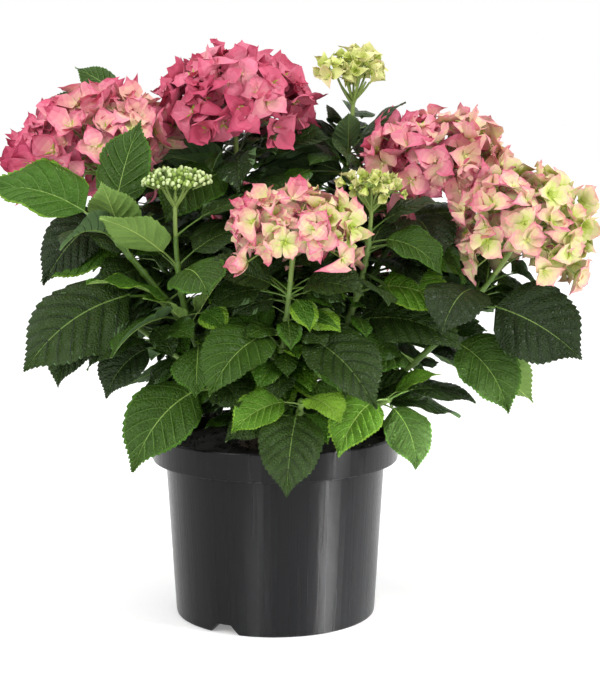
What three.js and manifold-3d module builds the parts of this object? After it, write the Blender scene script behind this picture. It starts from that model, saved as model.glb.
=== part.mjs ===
// A mophead hydrangea in its nursery pot: pot, compost, woody crown, canes, leaf masses,
// flower heads and bud clusters. Millimetres and degrees, +Z up, front towards -Y.
// The origin is the middle of the pot's flat underside.
// Headings are measured from +X (0) through the back (90) to the left (180).

import * as THREE from "three";
import { mergeVertices } from "three/addons/utils/BufferGeometryUtils.js";
import Module from "manifold-3d";

const wasm = await Module();
wasm.setup();

// ---------------------------------------------------------------- driving sizes

const POT = {
  height: 171, rimRadius: 115, ledgeHeight: 145, neckRadius: 101.5, footRadius: 93,
  wall: 2, channelInner: 62, channelOuter: 88, channelDepth: 8, segments: 30,
};
const NOTCH = { width: 30, topWidth: 14, height: 9, headings: [-119, 1, 121] };
const SOIL = { top: 158, edge: 155, gap: 0.3, segments: 15 };
const CROWN = { sides: 8, flare: 36, collar: 27, shoulder: 20, top: 8, height: 40 };
const FACETS = {
  lower: { radius: 23, height: 22, run: 6, climb: 16 },
  upper: { radius: 14, height: 35, run: 12, climb: 10 },
};
const GAP = 0.3;
const CANE = { sides: 5, foot: 4.4, tip: 3.2, steps: 5 };
const STEM = { sides: 4, foot: 3.0, tip: 2.2, steps: 4 };
const STALK = { sides: 4, foot: 2.2, tip: 2.6, steps: 2 };
const LEAF = {
  widthRatio: 0.66, widest: 0.39, basePower: 0.55, tipPower: 0.85, fold: 0.1,
  thick: 0.014, leastThick: 1.2, petiole: 0.26, petioleFoot: 1.7, petioleTip: 1.3,
  bands: [0.14, 0.42, 0.74], turnOut: 40,
};
const FLORET = { lift: 2.5, seat: 0.7, shell: 0.95, core: 0.84, tilt: 14 };
const TRIES = [
  [0, 0, 1], [7, 0, 1], [-7, 0, 1], [0, 10, 1], [0, -10, 1], [14, 0, 1], [-14, 0, 1],
  [10, 18, 1], [10, -18, 1], [-12, 18, 1], [-12, -18, 1], [22, 0, 1], [-22, 0, 1],
  [0, 0, 0.75], [12, 0, 0.75], [-12, 0, 0.75], [6, 24, 0.75], [6, -24, 0.75], [-18, 12, 0.75],
];

// Each shoot leaves a facet of the crown (heading, tier), passes "via" half way and ends at
// "tip". Its cane ends at "enter", where the leaf mass begins; the mass ends at "leave",
// where a flower or bud stalk begins. Leaves: along the shoot, heading, rise, length, droop,
// roll, tone from dark 0 to lime 1, 1 where the rule adds the opposite leaf of the pair, and
// the width as a share of the length where it isn't the usual one.
// Pairs: how many further pairs the rule adds, from, to, and their length.
const SHOOTS = {
  "left_head": {
    "heading": 180, "tier": "upper", "via": [-88, 12, 296], "tip": [-168, 24, 426],
    "enter": 0.46, "leave": 0.84,
    "head": {"size": [76, 72, 52], "lean": [180, 18], "florets": 21, "floret": 16, "reach": 112},
    "leaves": [
      [0.80, 188, -16, 86, 40, -60, 0.05, 0], [0.66, 190, 0, 90, 45, -50, 0.45, 0],
      [0.72, 262, 5, 80, 45, 0, 0.1, 1], [0.56, 240, 15, 84, 45, -20, 0.15, 1]
    ],
    "pairs": [2, 0.5, 0.7, 84]
  },
  "top_head": {
    "heading": 135, "tier": "upper", "via": [-30, 34, 320], "tip": [-37, 40, 474],
    "enter": 0.46, "leave": 0.84,
    "head": {"size": [74, 72, 47], "lean": [270, 8], "florets": 21, "floret": 16, "reach": 112},
    "leaves": [
      [0.80, 350, 42, 78, 30, 35, 0.1, 0], [0.78, 228, -6, 84, 50, -25, 0.35, 0],
      [0.80, 170, 35, 74, 30, -30, 0.05, 0], [0.72, 300, 20, 80, 50, 20, 0.1, 1],
      [0.62, 250, 10, 84, 50, 0, 0.15, 1]
    ],
    "pairs": [3, 0.5, 0.78, 82]
  },
  "right_head": {
    "heading": 0, "tier": "upper", "via": [78, 8, 296], "tip": [149, 20, 411],
    "enter": 0.46, "leave": 0.84,
    "head": {"size": [66, 64, 52], "lean": [0, 6], "florets": 19, "floret": 15, "reach": 115},
    "leaves": [
      [0.80, 285, 0, 86, 55, 0, 0.1, 1], [0.70, 335, 10, 88, 45, 30, 0.15, 1],
      [0.60, 300, 15, 84, 50, 10, 0.1, 1]
    ],
    "pairs": [3, 0.5, 0.74, 82]
  },
  "far_right_head": {
    "heading": 0, "tier": "lower", "via": [126, -38, 240], "tip": [222, -50, 361],
    "enter": 0.42, "leave": 0.86,
    "head": {"size": [60, 58, 54], "lean": [0, 8], "florets": 19, "floret": 15, "reach": 118},
    "leaves": [
      [0.79, 244, 5, 78, 62, -15, 0.05, 0, 0.78], [0.74, 336, -6, 92, 30, 55, 0.05, 0, 0.78],
      [0.60, 328, -22, 80, 55, 45, 0.2, 0], [0.60, 342, -42, 84, 15, -60, 0.9, 0],
      [0.66, 60, 20, 78, 50, 0, 0.2, 0], [0.66, 150, 20, 70, 50, 0, 0.2, 0]
    ],
    "pairs": [1, 0.5, 0.5, 74]
  },
  "front_head": {
    "heading": 270, "tier": "upper", "via": [8, -74, 255], "tip": [19, -105, 364],
    "enter": 0.4, "leave": 0.82,
    "head": {"size": [63, 60, 40], "lean": [270, 6], "florets": 18, "floret": 15, "reach": 108},
    "leaves": [
      [0.76, 200, 30, 66, 45, -45, 0.2, 0], [0.76, 325, 22, 64, 50, 30, 0.1, 0],
      [0.58, 230, -6, 90, 50, -30, 0.35, 0], [0.58, 325, -16, 92, 48, 35, 0.1, 0],
      [0.5, 150, 40, 74, 30, -50, 0.7, 0], [0.66, 60, 30, 70, 40, 0, 0.2, 0]
    ],
    "pairs": [1, 0.45, 0.45, 70]
  },
  "left_corymb": {
    "heading": 225, "tier": "upper", "via": [-70, -60, 262], "tip": [-86, -60, 402],
    "enter": 0.42, "leave": 0.86,
    "head": {"size": [29, 27, 11], "lean": [270, 6], "buds": 10, "floret": 5, "reach": 88},
    "leaves": [
      [0.77, 222, 46, 74, 25, 30, 0.95, 0], [0.55, 226, 52, 50, 40, 0, 0.8, 0],
      [0.56, 330, 60, 52, 20, 10, 0.8, 0], [0.68, 330, 30, 76, 50, 20, 0.2, 0],
      [0.70, 100, 35, 80, 45, 0, 0.2, 0], [0.77, 20, 40, 66, 45, 20, 0.3, 0]
    ],
    "pairs": [3, 0.46, 0.74, 74]
  },
  "right_bud": {
    "heading": 315, "tier": "upper", "via": [66, -50, 280], "tip": [86, -60, 392],
    "enter": 0.4, "leave": 0.88,
    "head": {"size": [27, 25, 18], "lean": [0, 8], "buds": 8, "floret": 8, "reach": 105},
    "leaves": [
      [0.86, 345, 38, 56, 40, 30, 0.2, 0], [0.82, 335, 0, 62, 60, 35, 0.3, 0],
      [0.62, 342, 28, 78, 50, 40, 0.75, 0], [0.46, 335, 12, 92, 55, 40, 0.15, 0],
      [0.82, 170, 30, 64, 45, -30, 0.2, 0], [0.5, 200, 25, 74, 45, -30, 0.15, 0],
      [0.74, 70, 30, 76, 45, 0, 0.2, 0]
    ],
    "pairs": [3, 0.45, 0.78, 72]
  },
  "top_bud": {
    "heading": 45, "tier": "upper", "via": [52, 36, 330], "tip": [74, 40, 492],
    "enter": 0.46, "leave": 0.88,
    "head": {"size": [30, 28, 27], "lean": [0, 0], "buds": 9, "floret": 9, "reach": 110},
    "leaves": [
      [0.78, 260, 78, 58, 20, 20, 0.35, 0], [0.80, 350, 50, 56, 20, 20, 0.3, 0],
      [0.68, 212, 12, 88, 45, -40, 0.55, 0], [0.68, 345, 20, 84, 50, 30, 0.1, 1],
      [0.62, 255, 20, 84, 50, 0, 0.1, 1]
    ],
    "pairs": [3, 0.5, 0.76, 82]
  },
  "left_shoot": {
    "heading": 180, "tier": "lower", "via": [-86, -48, 284], "tip": [-160, -72, 378],
    "enter": 0.42, "leave": 1,
    "leaves": [
      [0.9, 30, 58, 80, 15, 50, 0.15, 0], [0.9, 184, 36, 96, 50, -48, 0.65, 0],
      [0.78, 250, 62, 68, 12, 0, 0.9, 0], [0.58, 202, 5, 118, 50, -40, 0.1, 0],
      [0.70, 120, 30, 76, 40, 0, 0.15, 0], [0.56, 30, 25, 70, 45, 0, 0.2, 0]
    ],
    "pairs": [3, 0.47, 0.84, 74]
  },
  "left_low": {
    "heading": 225, "tier": "lower", "via": [-58, -58, 226], "tip": [-134, -48, 282],
    "enter": 0, "leave": 1,
    "leaves": [
      [0.42, 222, -14, 98, 60, -40, 0.3, 0], [0.78, 206, -18, 60, 60, -45, 0.2, 0],
      [1.0, 200, -30, 74, 50, -50, 0.1, 0], [0.98, 150, 20, 76, 40, -20, 0.2, 0],
      [0.6, 120, 15, 74, 50, 0, 0.2, 0]
    ],
    "pairs": [2, 0.4, 0.8, 66]
  },
  "front_low": {
    "heading": 270, "tier": "lower", "via": [18, -70, 192], "tip": [24, -106, 216],
    "enter": 0, "leave": 1,
    "leaves": [
      [0.94, 205, -2, 56, 50, -45, 0.6, 0], [0.80, 262, -18, 84, 62, 0, 0.45, 0],
      [1.0, 302, 15, 52, 50, 15, 0.95, 0], [0.78, 315, -28, 34, 30, 10, 0.6, 0],
      [0.6, 205, 5, 58, 55, -40, 0.2, 0]
    ],
    "pairs": [0, 0, 0, 0]
  },
  "right_low": {
    "heading": 315, "tier": "lower", "via": [62, -52, 194], "tip": [102, -82, 214],
    "enter": 0, "leave": 1,
    "leaves": [
      [0.98, 232, -10, 70, 60, -35, 0.85, 0], [0.88, 312, -28, 62, 65, 20, 0.3, 0],
      [0.93, 352, 38, 44, 30, 20, 0.85, 0], [0.7, 30, 20, 74, 45, 20, 0.2, 0],
      [0.98, 20, 10, 70, 45, 20, 0.2, 0]
    ],
    "pairs": [1, 0.6, 0.6, 62]
  },
  "back_left": {
    "heading": 135, "tier": "lower", "via": [-92, 90, 288], "tip": [-142, 98, 470],
    "enter": 0.36, "leave": 1,
    "leaves": [
      [1.0, 160, 38, 52, 20, -35, 0.85, 0], [0.96, 182, 24, 66, 30, -40, 0.25, 0],
      [0.92, 60, 30, 66, 30, 0, 0.3, 1], [0.78, 150, 10, 88, 45, 0, 0.2, 1],
      [0.64, 95, 10, 92, 50, 0, 0.2, 1], [0.5, 150, 5, 96, 50, 0, 0.2, 1]
    ],
    "pairs": [3, 0.45, 0.82, 84]
  },
  "back_centre": {
    "heading": 90, "tier": "upper", "via": [0, 96, 280], "tip": [-8, 164, 352],
    "enter": 0.28, "leave": 0.62,
    "head": {"size": [58, 54, 40], "lean": [90, 18], "florets": 13, "floret": 15, "reach": 108},
    "leaves": [
      [0.46, 130, 5, 96, 50, 0, 0.2, 1], [0.6, 60, -10, 88, 50, 0, 0.3, 1],
      [0.54, 170, 10, 92, 50, 0, 0.2, 1]
    ],
    "pairs": [3, 0.32, 0.56, 84]
  },
  "back_right": {
    "heading": 45, "tier": "lower", "via": [92, 78, 246], "tip": [134, 134, 322],
    "enter": 0.28, "leave": 0.6,
    "head": {"size": [56, 54, 40], "lean": [50, 16], "florets": 13, "floret": 15, "reach": 108},
    "leaves": [
      [0.48, 10, 5, 96, 50, 20, 0.2, 1], [0.58, 345, 5, 88, 50, 20, 0.2, 1],
      [0.56, 80, -10, 88, 50, 0, 0.2, 1]
    ],
    "pairs": [3, 0.32, 0.55, 84]
  },
  "back_low": {
    "heading": 90, "tier": "lower", "via": [2, 72, 200], "tip": [6, 118, 238],
    "enter": 0, "leave": 1,
    "leaves": [
      [0.98, 150, 5, 90, 60, 0, 0.3, 0], [0.98, 30, 5, 90, 60, 0, 0.3, 0],
      [0.7, 170, 10, 92, 60, 0, 0.2, 0], [0.7, 5, 10, 92, 60, 0, 0.2, 0],
      [1.0, 90, 25, 76, 60, 0, 0.7, 0]
    ],
    "pairs": [1, 0.5, 0.5, 76]
  }
};

// ---------------------------------------------------------------- materials

const finish = (color, roughness) =>
  new THREE.MeshStandardMaterial({ color, roughness, metalness: 0 });
const MATERIALS = {
  pot: finish(0x38393b, 0.42),
  soil: finish(0x2b211a, 0.95),
  bark: finish(0x7a6a4a, 0.8),
  cane: finish(0x6f8a45, 0.6),
  leaf: finish(0x33592a, 0.45),
  sepal: finish(0xe2708a, 0.6),
  bud: finish(0xb4cf63, 0.6),
};

// ---------------------------------------------------------------- solids

const plant = new THREE.Group();
const solids = new Map();

// A closed solid from a three.js geometry, turned right way out if it came inside out.
function solid(geometry) {
  const bare = geometry.clone();
  bare.deleteAttribute("normal");
  bare.deleteAttribute("uv");
  const welded = mergeVertices(bare, 1e-4);
  const points = welded.attributes.position.array;
  const faces = Array.from(welded.index.array);
  const kept = [];
  let volume = 0;
  const a = new THREE.Vector3();
  const b = new THREE.Vector3();
  const c = new THREE.Vector3();
  for (let i = 0; i < faces.length; i += 3) {
    const [p, q, r] = [faces[i], faces[i + 1], faces[i + 2]];
    if (p === q || q === r || p === r) continue;
    a.fromArray(points, 3 * p);
    b.fromArray(points, 3 * q);
    c.fromArray(points, 3 * r);
    volume += a.dot(b.cross(c));
    kept.push(p, q, r);
  }
  if (volume < 0) {
    for (let i = 0; i < kept.length; i += 3) {
      [kept[i + 1], kept[i + 2]] = [kept[i + 2], kept[i + 1]];
    }
  }
  return new wasm.Manifold(new wasm.Mesh({
    numProp: 3,
    vertProperties: Float32Array.from(points),
    triVerts: Uint32Array.from(kept),
  }));
}

function place(name, manifold, material) {
  const mesh = manifold.getMesh();
  const geometry = new THREE.BufferGeometry();
  const stride = mesh.numProp;
  const points = new Float32Array((mesh.vertProperties.length / stride) * 3);
  for (let i = 0; i < points.length / 3; i += 1) {
    for (let k = 0; k < 3; k += 1) points[3 * i + k] = mesh.vertProperties[stride * i + k];
  }
  geometry.setAttribute("position", new THREE.BufferAttribute(points, 3));
  geometry.setIndex(new THREE.BufferAttribute(Uint32Array.from(mesh.triVerts), 1));
  geometry.computeVertexNormals();
  const piece = new THREE.Mesh(geometry, material);
  piece.name = name;
  plant.add(piece);
}

function turned(points, segments) {
  const profile = points.map(([radius, height]) => new THREE.Vector2(radius, height));
  const geometry = new THREE.LatheGeometry(profile, segments);
  geometry.rotateX(Math.PI / 2);
  return geometry;
}

const radians = THREE.MathUtils.degToRad;
const vector = (x, y, z) => new THREE.Vector3(x, y, z);

function pointing(heading, rise) {
  const h = radians(heading);
  const r = radians(rise);
  return vector(Math.cos(r) * Math.cos(h), Math.cos(r) * Math.sin(h), Math.sin(r));
}

// A repeatable stream of numbers from 0 to 1.
function stream(seed) {
  let state = seed;
  return () => {
    state = (state * 16807) % 2147483647;
    return state / 2147483647;
  };
}

// A round limb along a curve: a closed cylinder whose rings are set along it.
function limb(curve, foot, tip, sides, steps) {
  const geometry = new THREE.CylinderGeometry(1, 1, 1, sides, steps);
  const frames = curve.computeFrenetFrames(steps, false);
  const position = geometry.attributes.position;
  for (let i = 0; i < position.count; i += 1) {
    const along = position.getY(i) + 0.5;
    const ring = Math.round(along * steps);
    const radius = foot + (tip - foot) * along;
    const point = curve.getPointAt(along)
      .addScaledVector(frames.normals[ring], position.getX(i) * radius)
      .addScaledVector(frames.binormals[ring], position.getZ(i) * radius);
    position.setXYZ(i, point.x, point.y, point.z);
  }
  return geometry;
}

// ---------------------------------------------------------------- pot, compost and crown

function potSolid() {
  const p = POT;
  const inside = p.rimRadius - p.wall - 0.5;
  const outline = [
    [0, 0], [p.channelInner, 0], [p.channelInner + 4, p.channelDepth],
    [p.channelOuter - 4, p.channelDepth], [p.channelOuter, 0], [p.footRadius - 2, 0],
    [p.footRadius, 3], [p.neckRadius, p.ledgeHeight - 1], [p.rimRadius - 1.5, p.ledgeHeight],
    [p.rimRadius - 1.2, p.ledgeHeight + 2], [p.rimRadius, p.height - 2], [p.rimRadius - 1, p.height],
    [inside, p.height], [p.rimRadius - 3.7, p.ledgeHeight + 3],
    [p.neckRadius - p.wall, p.ledgeHeight - 2], [p.footRadius - p.wall, 12],
    [p.channelOuter - 2, 10.5], [p.channelInner + 2, 10.5], [p.channelInner - 2, 2.5], [0, 2.5],
  ];
  let pot = solid(turned(outline, p.segments));
  const half = NOTCH.width / 2;
  const halfTop = NOTCH.topWidth / 2;
  for (const heading of NOTCH.headings) {
    const shape = new THREE.Shape([
      new THREE.Vector2(-half - 1, -2), new THREE.Vector2(half + 1, -2),
      new THREE.Vector2(half, 0), new THREE.Vector2(halfTop, NOTCH.height),
      new THREE.Vector2(-halfTop, NOTCH.height), new THREE.Vector2(-half, 0),
    ]);
    const cutter = new THREE.ExtrudeGeometry(shape, { depth: 22, bevelEnabled: false });
    cutter.rotateX(Math.PI / 2);
    cutter.translate(0, p.footRadius + 8, 0);
    cutter.rotateZ(radians(heading - 90));
    pot = pot.subtract(solid(cutter));
  }
  return pot;
}

function soilSolid() {
  const p = POT;
  const g = SOIL.gap;
  return solid(turned([
    [0, 2.5 + g], [p.channelInner - 2.5, 2.5 + g], [p.channelInner + 1.5, 10.5 + g],
    [p.channelOuter - 2, 10.5 + g], [p.footRadius - p.wall - g, 12 + g],
    [p.neckRadius - p.wall - 0.5, p.ledgeHeight - 2], [p.rimRadius - 4.3, p.ledgeHeight + 3],
    [p.rimRadius - 3.9, SOIL.edge], [100, SOIL.top - 1.6], [82, SOIL.top - 2.4],
    [62, SOIL.top + 0.8], [40, SOIL.top], [0, SOIL.top],
  ], SOIL.segments));
}

function crownSolid() {
  const c = CROWN;
  const geometry = turned([
    [0, 0], [c.flare, 0], [c.collar, 8], [c.collar - 1, 14], [c.shoulder, 30],
    [c.top, c.height], [0, c.height],
  ], c.sides);
  geometry.rotateZ(Math.PI / c.sides);
  geometry.translate(0, 0, SOIL.top + SOIL.gap);
  return solid(geometry);
}

// ---------------------------------------------------------------- shoots

function shootCurve(shoot) {
  const facet = FACETS[shoot.tier];
  const rise = THREE.MathUtils.radToDeg(Math.atan2(facet.run, facet.climb));
  const normal = pointing(shoot.heading, rise);
  const seat = pointing(shoot.heading, 0)
    .multiplyScalar(facet.radius * Math.cos(Math.PI / CROWN.sides));
  seat.z = SOIL.top + SOIL.gap + facet.height;
  const via = vector(...shoot.via);
  const tip = vector(...shoot.tip);
  const middle = via.clone().multiplyScalar(2).addScaledVector(seat, -0.5).addScaledVector(tip, -0.5);
  const start = middle.clone().sub(seat).normalize();
  const slant = Math.sqrt(Math.max(0, 1 - start.dot(normal) ** 2));
  const foot = shoot.enter > 0 ? CANE.foot : STEM.foot;
  seat.addScaledVector(normal, GAP + foot * slant);
  return new THREE.QuadraticBezierCurve3(seat, middle, tip);
}

// The stretch of a shoot between two shares of its parameter, as a curve of its own.
function stretch(curve, from, to) {
  const at = (t) => curve.getPoint(t);
  const slope = curve.getTangent(from).multiplyScalar(speed(curve, from));
  const start = at(from);
  const middle = start.clone().addScaledVector(slope, (to - from) / 2);
  return new THREE.QuadraticBezierCurve3(start, middle, at(to));
}

function speed(curve, t) {
  const near = curve.v1.clone().sub(curve.v0).multiplyScalar(2 * (1 - t));
  return near.addScaledVector(curve.v2.clone().sub(curve.v1), 2 * t).length();
}

// The share of the parameter that moves a point on by a length along the curve.
const onward = (curve, t, length) => t + length / speed(curve, t);

// ---------------------------------------------------------------- leaves

function leafFrame(curve, spec, stemRadius) {
  const node = curve.getPoint(Math.min(spec.along, 1));
  const petiole = LEAF.petiole * spec.length;
  const lift = Math.max(8, Math.min(70, 25 + 0.5 * spec.rise));
  const base = node.clone()
    .addScaledVector(pointing(spec.heading, lift), stemRadius + 0.55 * petiole)
    .addScaledVector(pointing(spec.heading, spec.rise), 0.45 * petiole);
  return { node, base };
}

// A point of the blade's middle line at a share s of its length, with its two cross directions.
function bladeFrame(base, spec, s) {
  const h = radians(spec.heading);
  const start = radians(spec.rise);
  const bend = radians(spec.droop);
  const now = start - bend * s;
  let run = s * Math.cos(start);
  let climb = s * Math.sin(start);
  if (Math.abs(bend) > 1e-6) {
    run = (Math.sin(start) - Math.sin(now)) / bend;
    climb = (Math.cos(now) - Math.cos(start)) / bend;
  }
  const point = vector(
    base.x + spec.length * run * Math.cos(h),
    base.y + spec.length * run * Math.sin(h),
    base.z + spec.length * climb,
  );
  const ahead = vector(Math.cos(now) * Math.cos(h), Math.cos(now) * Math.sin(h), Math.sin(now));
  const level = vector(-Math.sin(h), Math.cos(h), 0);
  const up = new THREE.Vector3().crossVectors(ahead, level);
  const roll = radians(spec.roll);
  const side = level.clone().multiplyScalar(Math.cos(roll)).addScaledVector(up, Math.sin(roll));
  const top = up.multiplyScalar(Math.cos(roll)).addScaledVector(level, -Math.sin(roll));
  return { point, side, top };
}

function halfWidth(spec, s) {
  const rise = (s / LEAF.widest) ** LEAF.basePower;
  const fall = ((1 - s) / (1 - LEAF.widest)) ** LEAF.tipPower;
  return 0.5 * spec.width * rise * fall;
}

// The leaf in one piece: a ball of four sides and six bands, drawn out from the stem's
// middle into a stalk and then pressed flat into the blade's outline.
function leafGeometry(node, base, spec, grow) {
  const bands = LEAF.bands.length + 3;
  const geometry = new THREE.SphereGeometry(1, 4, bands);
  const position = geometry.attributes.position;
  const half = 0.5 * Math.max(LEAF.leastThick, LEAF.thick * spec.length) + grow;
  for (let i = 0; i < position.count; i += 1) {
    const polar = Math.acos(Math.max(-1, Math.min(1, position.getY(i)))) / Math.PI;
    const band = Math.round(polar * bands);
    const sideways = Math.abs(position.getX(i)) > Math.abs(position.getZ(i));
    const sign = Math.sign(sideways ? position.getX(i) : position.getZ(i));
    let point;
    if (band === 0) {
      point = node.clone().addScaledVector(pointing(spec.heading, 0), -0.5);
    } else if (band === bands) {
      point = bladeFrame(base, spec, 1).point;
      point.addScaledVector(pointing(spec.heading, spec.rise - spec.droop), grow);
    } else if (band < 3) {
      const frame = bladeFrame(base, spec, 0);
      const radius = (band === 1 ? LEAF.petioleFoot : LEAF.petioleTip) + grow;
      point = (band === 1 ? node : base).clone();
      point.addScaledVector(sideways ? frame.side : frame.top, sign * radius);
    } else {
      const s = LEAF.bands[band - 3];
      const frame = bladeFrame(base, spec, s);
      const width = halfWidth(spec, s) + grow;
      point = frame.point;
      if (sideways) {
        point.addScaledVector(frame.side, sign * width);
        point.addScaledVector(frame.top, LEAF.fold * width);
      } else {
        point.addScaledVector(frame.top, sign * half);
      }
    }
    position.setXYZ(i, point.x, point.y, point.z);
  }
  return geometry;
}

// All the leaves that a shoot's rule asks for, in their passes.
function leafSpecs(shoot, index, curve) {
  const draw = stream(4001 + 977 * index);
  const outward = (along, heading) => {
    const node = curve.getPoint(along);
    return -LEAF.turnOut * Math.sin(Math.atan2(node.y, node.x) - radians(heading));
  };
  const passes = [[], [], []];
  const add = (pass, along, heading, rise, length, droop, roll, tone, ratio) => {
    const width = length * (ratio ?? LEAF.widthRatio) * (0.94 + 0.12 * draw());
    passes[pass].push({ along, heading, rise, length, droop, roll, tone, width });
  };
  for (const [along, heading, rise, length, droop, roll, tone, , ratio] of shoot.leaves) {
    add(0, along, heading, rise, length, droop, roll, tone, ratio);
  }
  for (const [along, heading, , length, , , tone, paired] of shoot.leaves) {
    const [p, q, r, s] = [draw(), draw(), draw(), draw()];
    if (paired) {
      const turn = heading + 180 + 40 * (p - 0.5);
      add(1, along, turn, 8 + 24 * q, length * (0.75 + 0.2 * r),
        40 + 25 * s, outward(along, turn) + 20 * (q - 0.5), 0.7 * tone);
    }
  }
  const [count, from, to, size] = shoot.pairs;
  for (let k = 0; k < count; k += 1) {
    const along = from + (to - from) * (count > 1 ? k / (count - 1) : 0.5);
    const turn = shoot.heading + 55 + 90 * k + 40 * (draw() - 0.5);
    for (const side of [0, 180]) {
      const [p, q, r, s] = [draw(), draw(), draw(), draw()];
      const way = turn + side + 20 * (p - 0.5);
      add(2, along, way, 6 + 26 * q, size * (0.85 + 0.25 * r),
        42 + 25 * s, outward(along, way) + 20 * (q - 0.5), 0.1 + 0.3 * r);
    }
  }
  return passes;
}

// ---------------------------------------------------------------- flower heads

function ellipsoid(centre, size, lean, wide, high) {
  const geometry = new THREE.SphereGeometry(1, wide, high);
  geometry.rotateX(Math.PI / 2);
  geometry.scale(size[0], size[1], size[2]);
  geometry.applyMatrix4(leaning(lean));
  geometry.translate(centre.x, centre.y, centre.z);
  return geometry;
}

// The turn that tips the upright axis towards a heading.
function leaning([heading, angle]) {
  const h = radians(heading);
  const axis = vector(-Math.sin(h), Math.cos(h), 0);
  return new THREE.Matrix4().makeRotationAxis(axis, radians(angle));
}

// Where each floret or bud of a head sits: its point, facing and spin.
function blooms(centre, head, index, count) {
  const draw = stream(7001 + 613 * index);
  const turn = leaning(head.lean);
  const [a, b, c] = head.size;
  const lowest = Math.cos(radians(head.reach));
  const list = [];
  for (let i = 0; i < count; i += 1) {
    const z = 1 - (1 - lowest) * ((i + 0.5) / count);
    const across = Math.sqrt(1 - z * z);
    const phi = i * 2.399963 + 0.5 * (draw() - 0.5);
    const unit = vector(across * Math.cos(phi), across * Math.sin(phi), z);
    const point = vector(unit.x * a, unit.y * b, unit.z * c).multiplyScalar(FLORET.shell);
    const facing = vector(unit.x / a, unit.y / b, unit.z / c).normalize();
    const tilt = radians(FLORET.tilt);
    facing.x += tilt * (2 * draw() - 1);
    facing.y += tilt * (2 * draw() - 1);
    facing.z += tilt * (2 * draw() - 1);
    facing.normalize();
    const spin = Math.PI * draw();
    const scale = 0.88 + 0.24 * draw();
    point.applyMatrix4(turn);
    facing.applyMatrix4(turn);
    list.push({ point: point.add(centre), facing, spin, scale });
  }
  return list;
}

// A floret: four sepals as a dished diamond whose stalk runs down into the head.
function floretGeometry(bloom, centre, radius, lift) {
  const geometry = new THREE.SphereGeometry(1, 4, 2);
  const position = geometry.attributes.position;
  const aside = Math.abs(bloom.facing.z) < 0.9 ? vector(0, 0, 1) : vector(1, 0, 0);
  const u = new THREE.Vector3().crossVectors(aside, bloom.facing).normalize();
  const v = new THREE.Vector3().crossVectors(bloom.facing, u);
  for (let i = 0; i < position.count; i += 1) {
    const y = position.getY(i);
    const point = bloom.point.clone();
    if (y > 0.5) {
      point.addScaledVector(bloom.facing, lift);
    } else if (y < -0.5) {
      point.sub(centre).multiplyScalar(FLORET.seat / FLORET.shell).add(centre);
    } else {
      const angle = Math.atan2(position.getZ(i), position.getX(i)) + bloom.spin;
      point.addScaledVector(u, Math.cos(angle) * radius * bloom.scale);
      point.addScaledVector(v, Math.sin(angle) * radius * bloom.scale);
    }
    position.setXYZ(i, point.x, point.y, point.z);
  }
  return geometry;
}

function headSolid(curve, shoot, index) {
  const head = shoot.head;
  const centre = vector(...shoot.tip);
  const from = onward(curve, shoot.leave, GAP);
  const size = head.size.map((r) => r * FLORET.core);
  let body = solid(ellipsoid(centre, size, head.lean, 8, head.florets ? 6 : 4));
  const end = centre.clone().addScaledVector(curve.getPoint(from).sub(centre), 0.25);
  const stalkCurve = stretch(curve, from, 1);
  stalkCurve.v2 = end;
  body = body.add(solid(limb(stalkCurve, STALK.foot, STALK.tip, STALK.sides, STALK.steps)));
  const others = [...fixed.values(), ...masses.map((mass) => mass.stem)];
  if (head.florets) {
    for (const bloom of blooms(centre, head, index, head.florets)) {
      const room = solid(floretGeometry(bloom, centre, head.floret + 0.6, FLORET.lift + 0.6));
      if (touches(room, others)) continue;
      body = body.add(solid(floretGeometry(bloom, centre, head.floret, FLORET.lift)));
    }
    return body;
  }
  for (const bloom of blooms(centre, head, index, head.buds)) {
    body = body.add(solid(floretGeometry(bloom, centre, head.floret, 0.7 * head.floret)));
  }
  // branches of the cluster, spreading from low on the stalk
  const fork = stalkCurve.getPoint(0.35);
  for (let k = 0; k < 4; k += 1) {
    const phi = radians(45 + 90 * k);
    const rim = centre.clone().add(vector(
      0.55 * head.size[0] * Math.cos(phi), 0.55 * head.size[1] * Math.sin(phi), -0.1 * head.size[2],
    ));
    const bow = vector(rim.x, rim.y, (fork.z + rim.z) / 2);
    const branch = new THREE.QuadraticBezierCurve3(fork, bow, rim);
    body = body.add(solid(limb(branch, 1.2, 1, 3, 2)));
  }
  return body;
}

// ---------------------------------------------------------------- growing the plant

function boxesMeet(a, b) {
  for (let k = 0; k < 3; k += 1) {
    if (a.max[k] < b.min[k] || b.max[k] < a.min[k]) return false;
  }
  return true;
}

function touches(shape, others) {
  const box = shape.boundingBox();
  for (const other of others) {
    if (!boxesMeet(box, other.box)) continue;
    if (!shape.intersect(other.shape).isEmpty()) return true;
  }
  return false;
}

const boxed = (shape) => ({ shape, box: shape.boundingBox() });
const names = Object.keys(SHOOTS);
const curves = names.map((name) => shootCurve(SHOOTS[name]));
const fixed = new Map();
const pot = potSolid();
const soil = soilSolid();
const crown = crownSolid();
fixed.set("pot", boxed(pot));
fixed.set("soil", boxed(soil));
fixed.set("crown", boxed(crown));
place("pot", pot, MATERIALS.pot);
place("soil", soil, MATERIALS.soil);
place("crown", crown, MATERIALS.bark);

const masses = names.map((name, index) => {
  const shoot = SHOOTS[name];
  const curve = curves[index];
  if (shoot.enter > 0) {
    const cane = solid(limb(stretch(curve, 0, shoot.enter), CANE.foot, CANE.tip, CANE.sides, CANE.steps));
    fixed.set("cane_" + name, boxed(cane));
    place("cane_" + name, cane, MATERIALS.cane);
  }
  const from = shoot.enter > 0 ? onward(curve, shoot.enter, GAP) : 0;
  const stem = solid(limb(stretch(curve, from, shoot.leave), STEM.foot, STEM.tip, STEM.sides, STEM.steps));
  return { name, curve, stem: boxed(stem), leaves: [], specs: leafSpecs(shoot, index, curve) };
});

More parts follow.
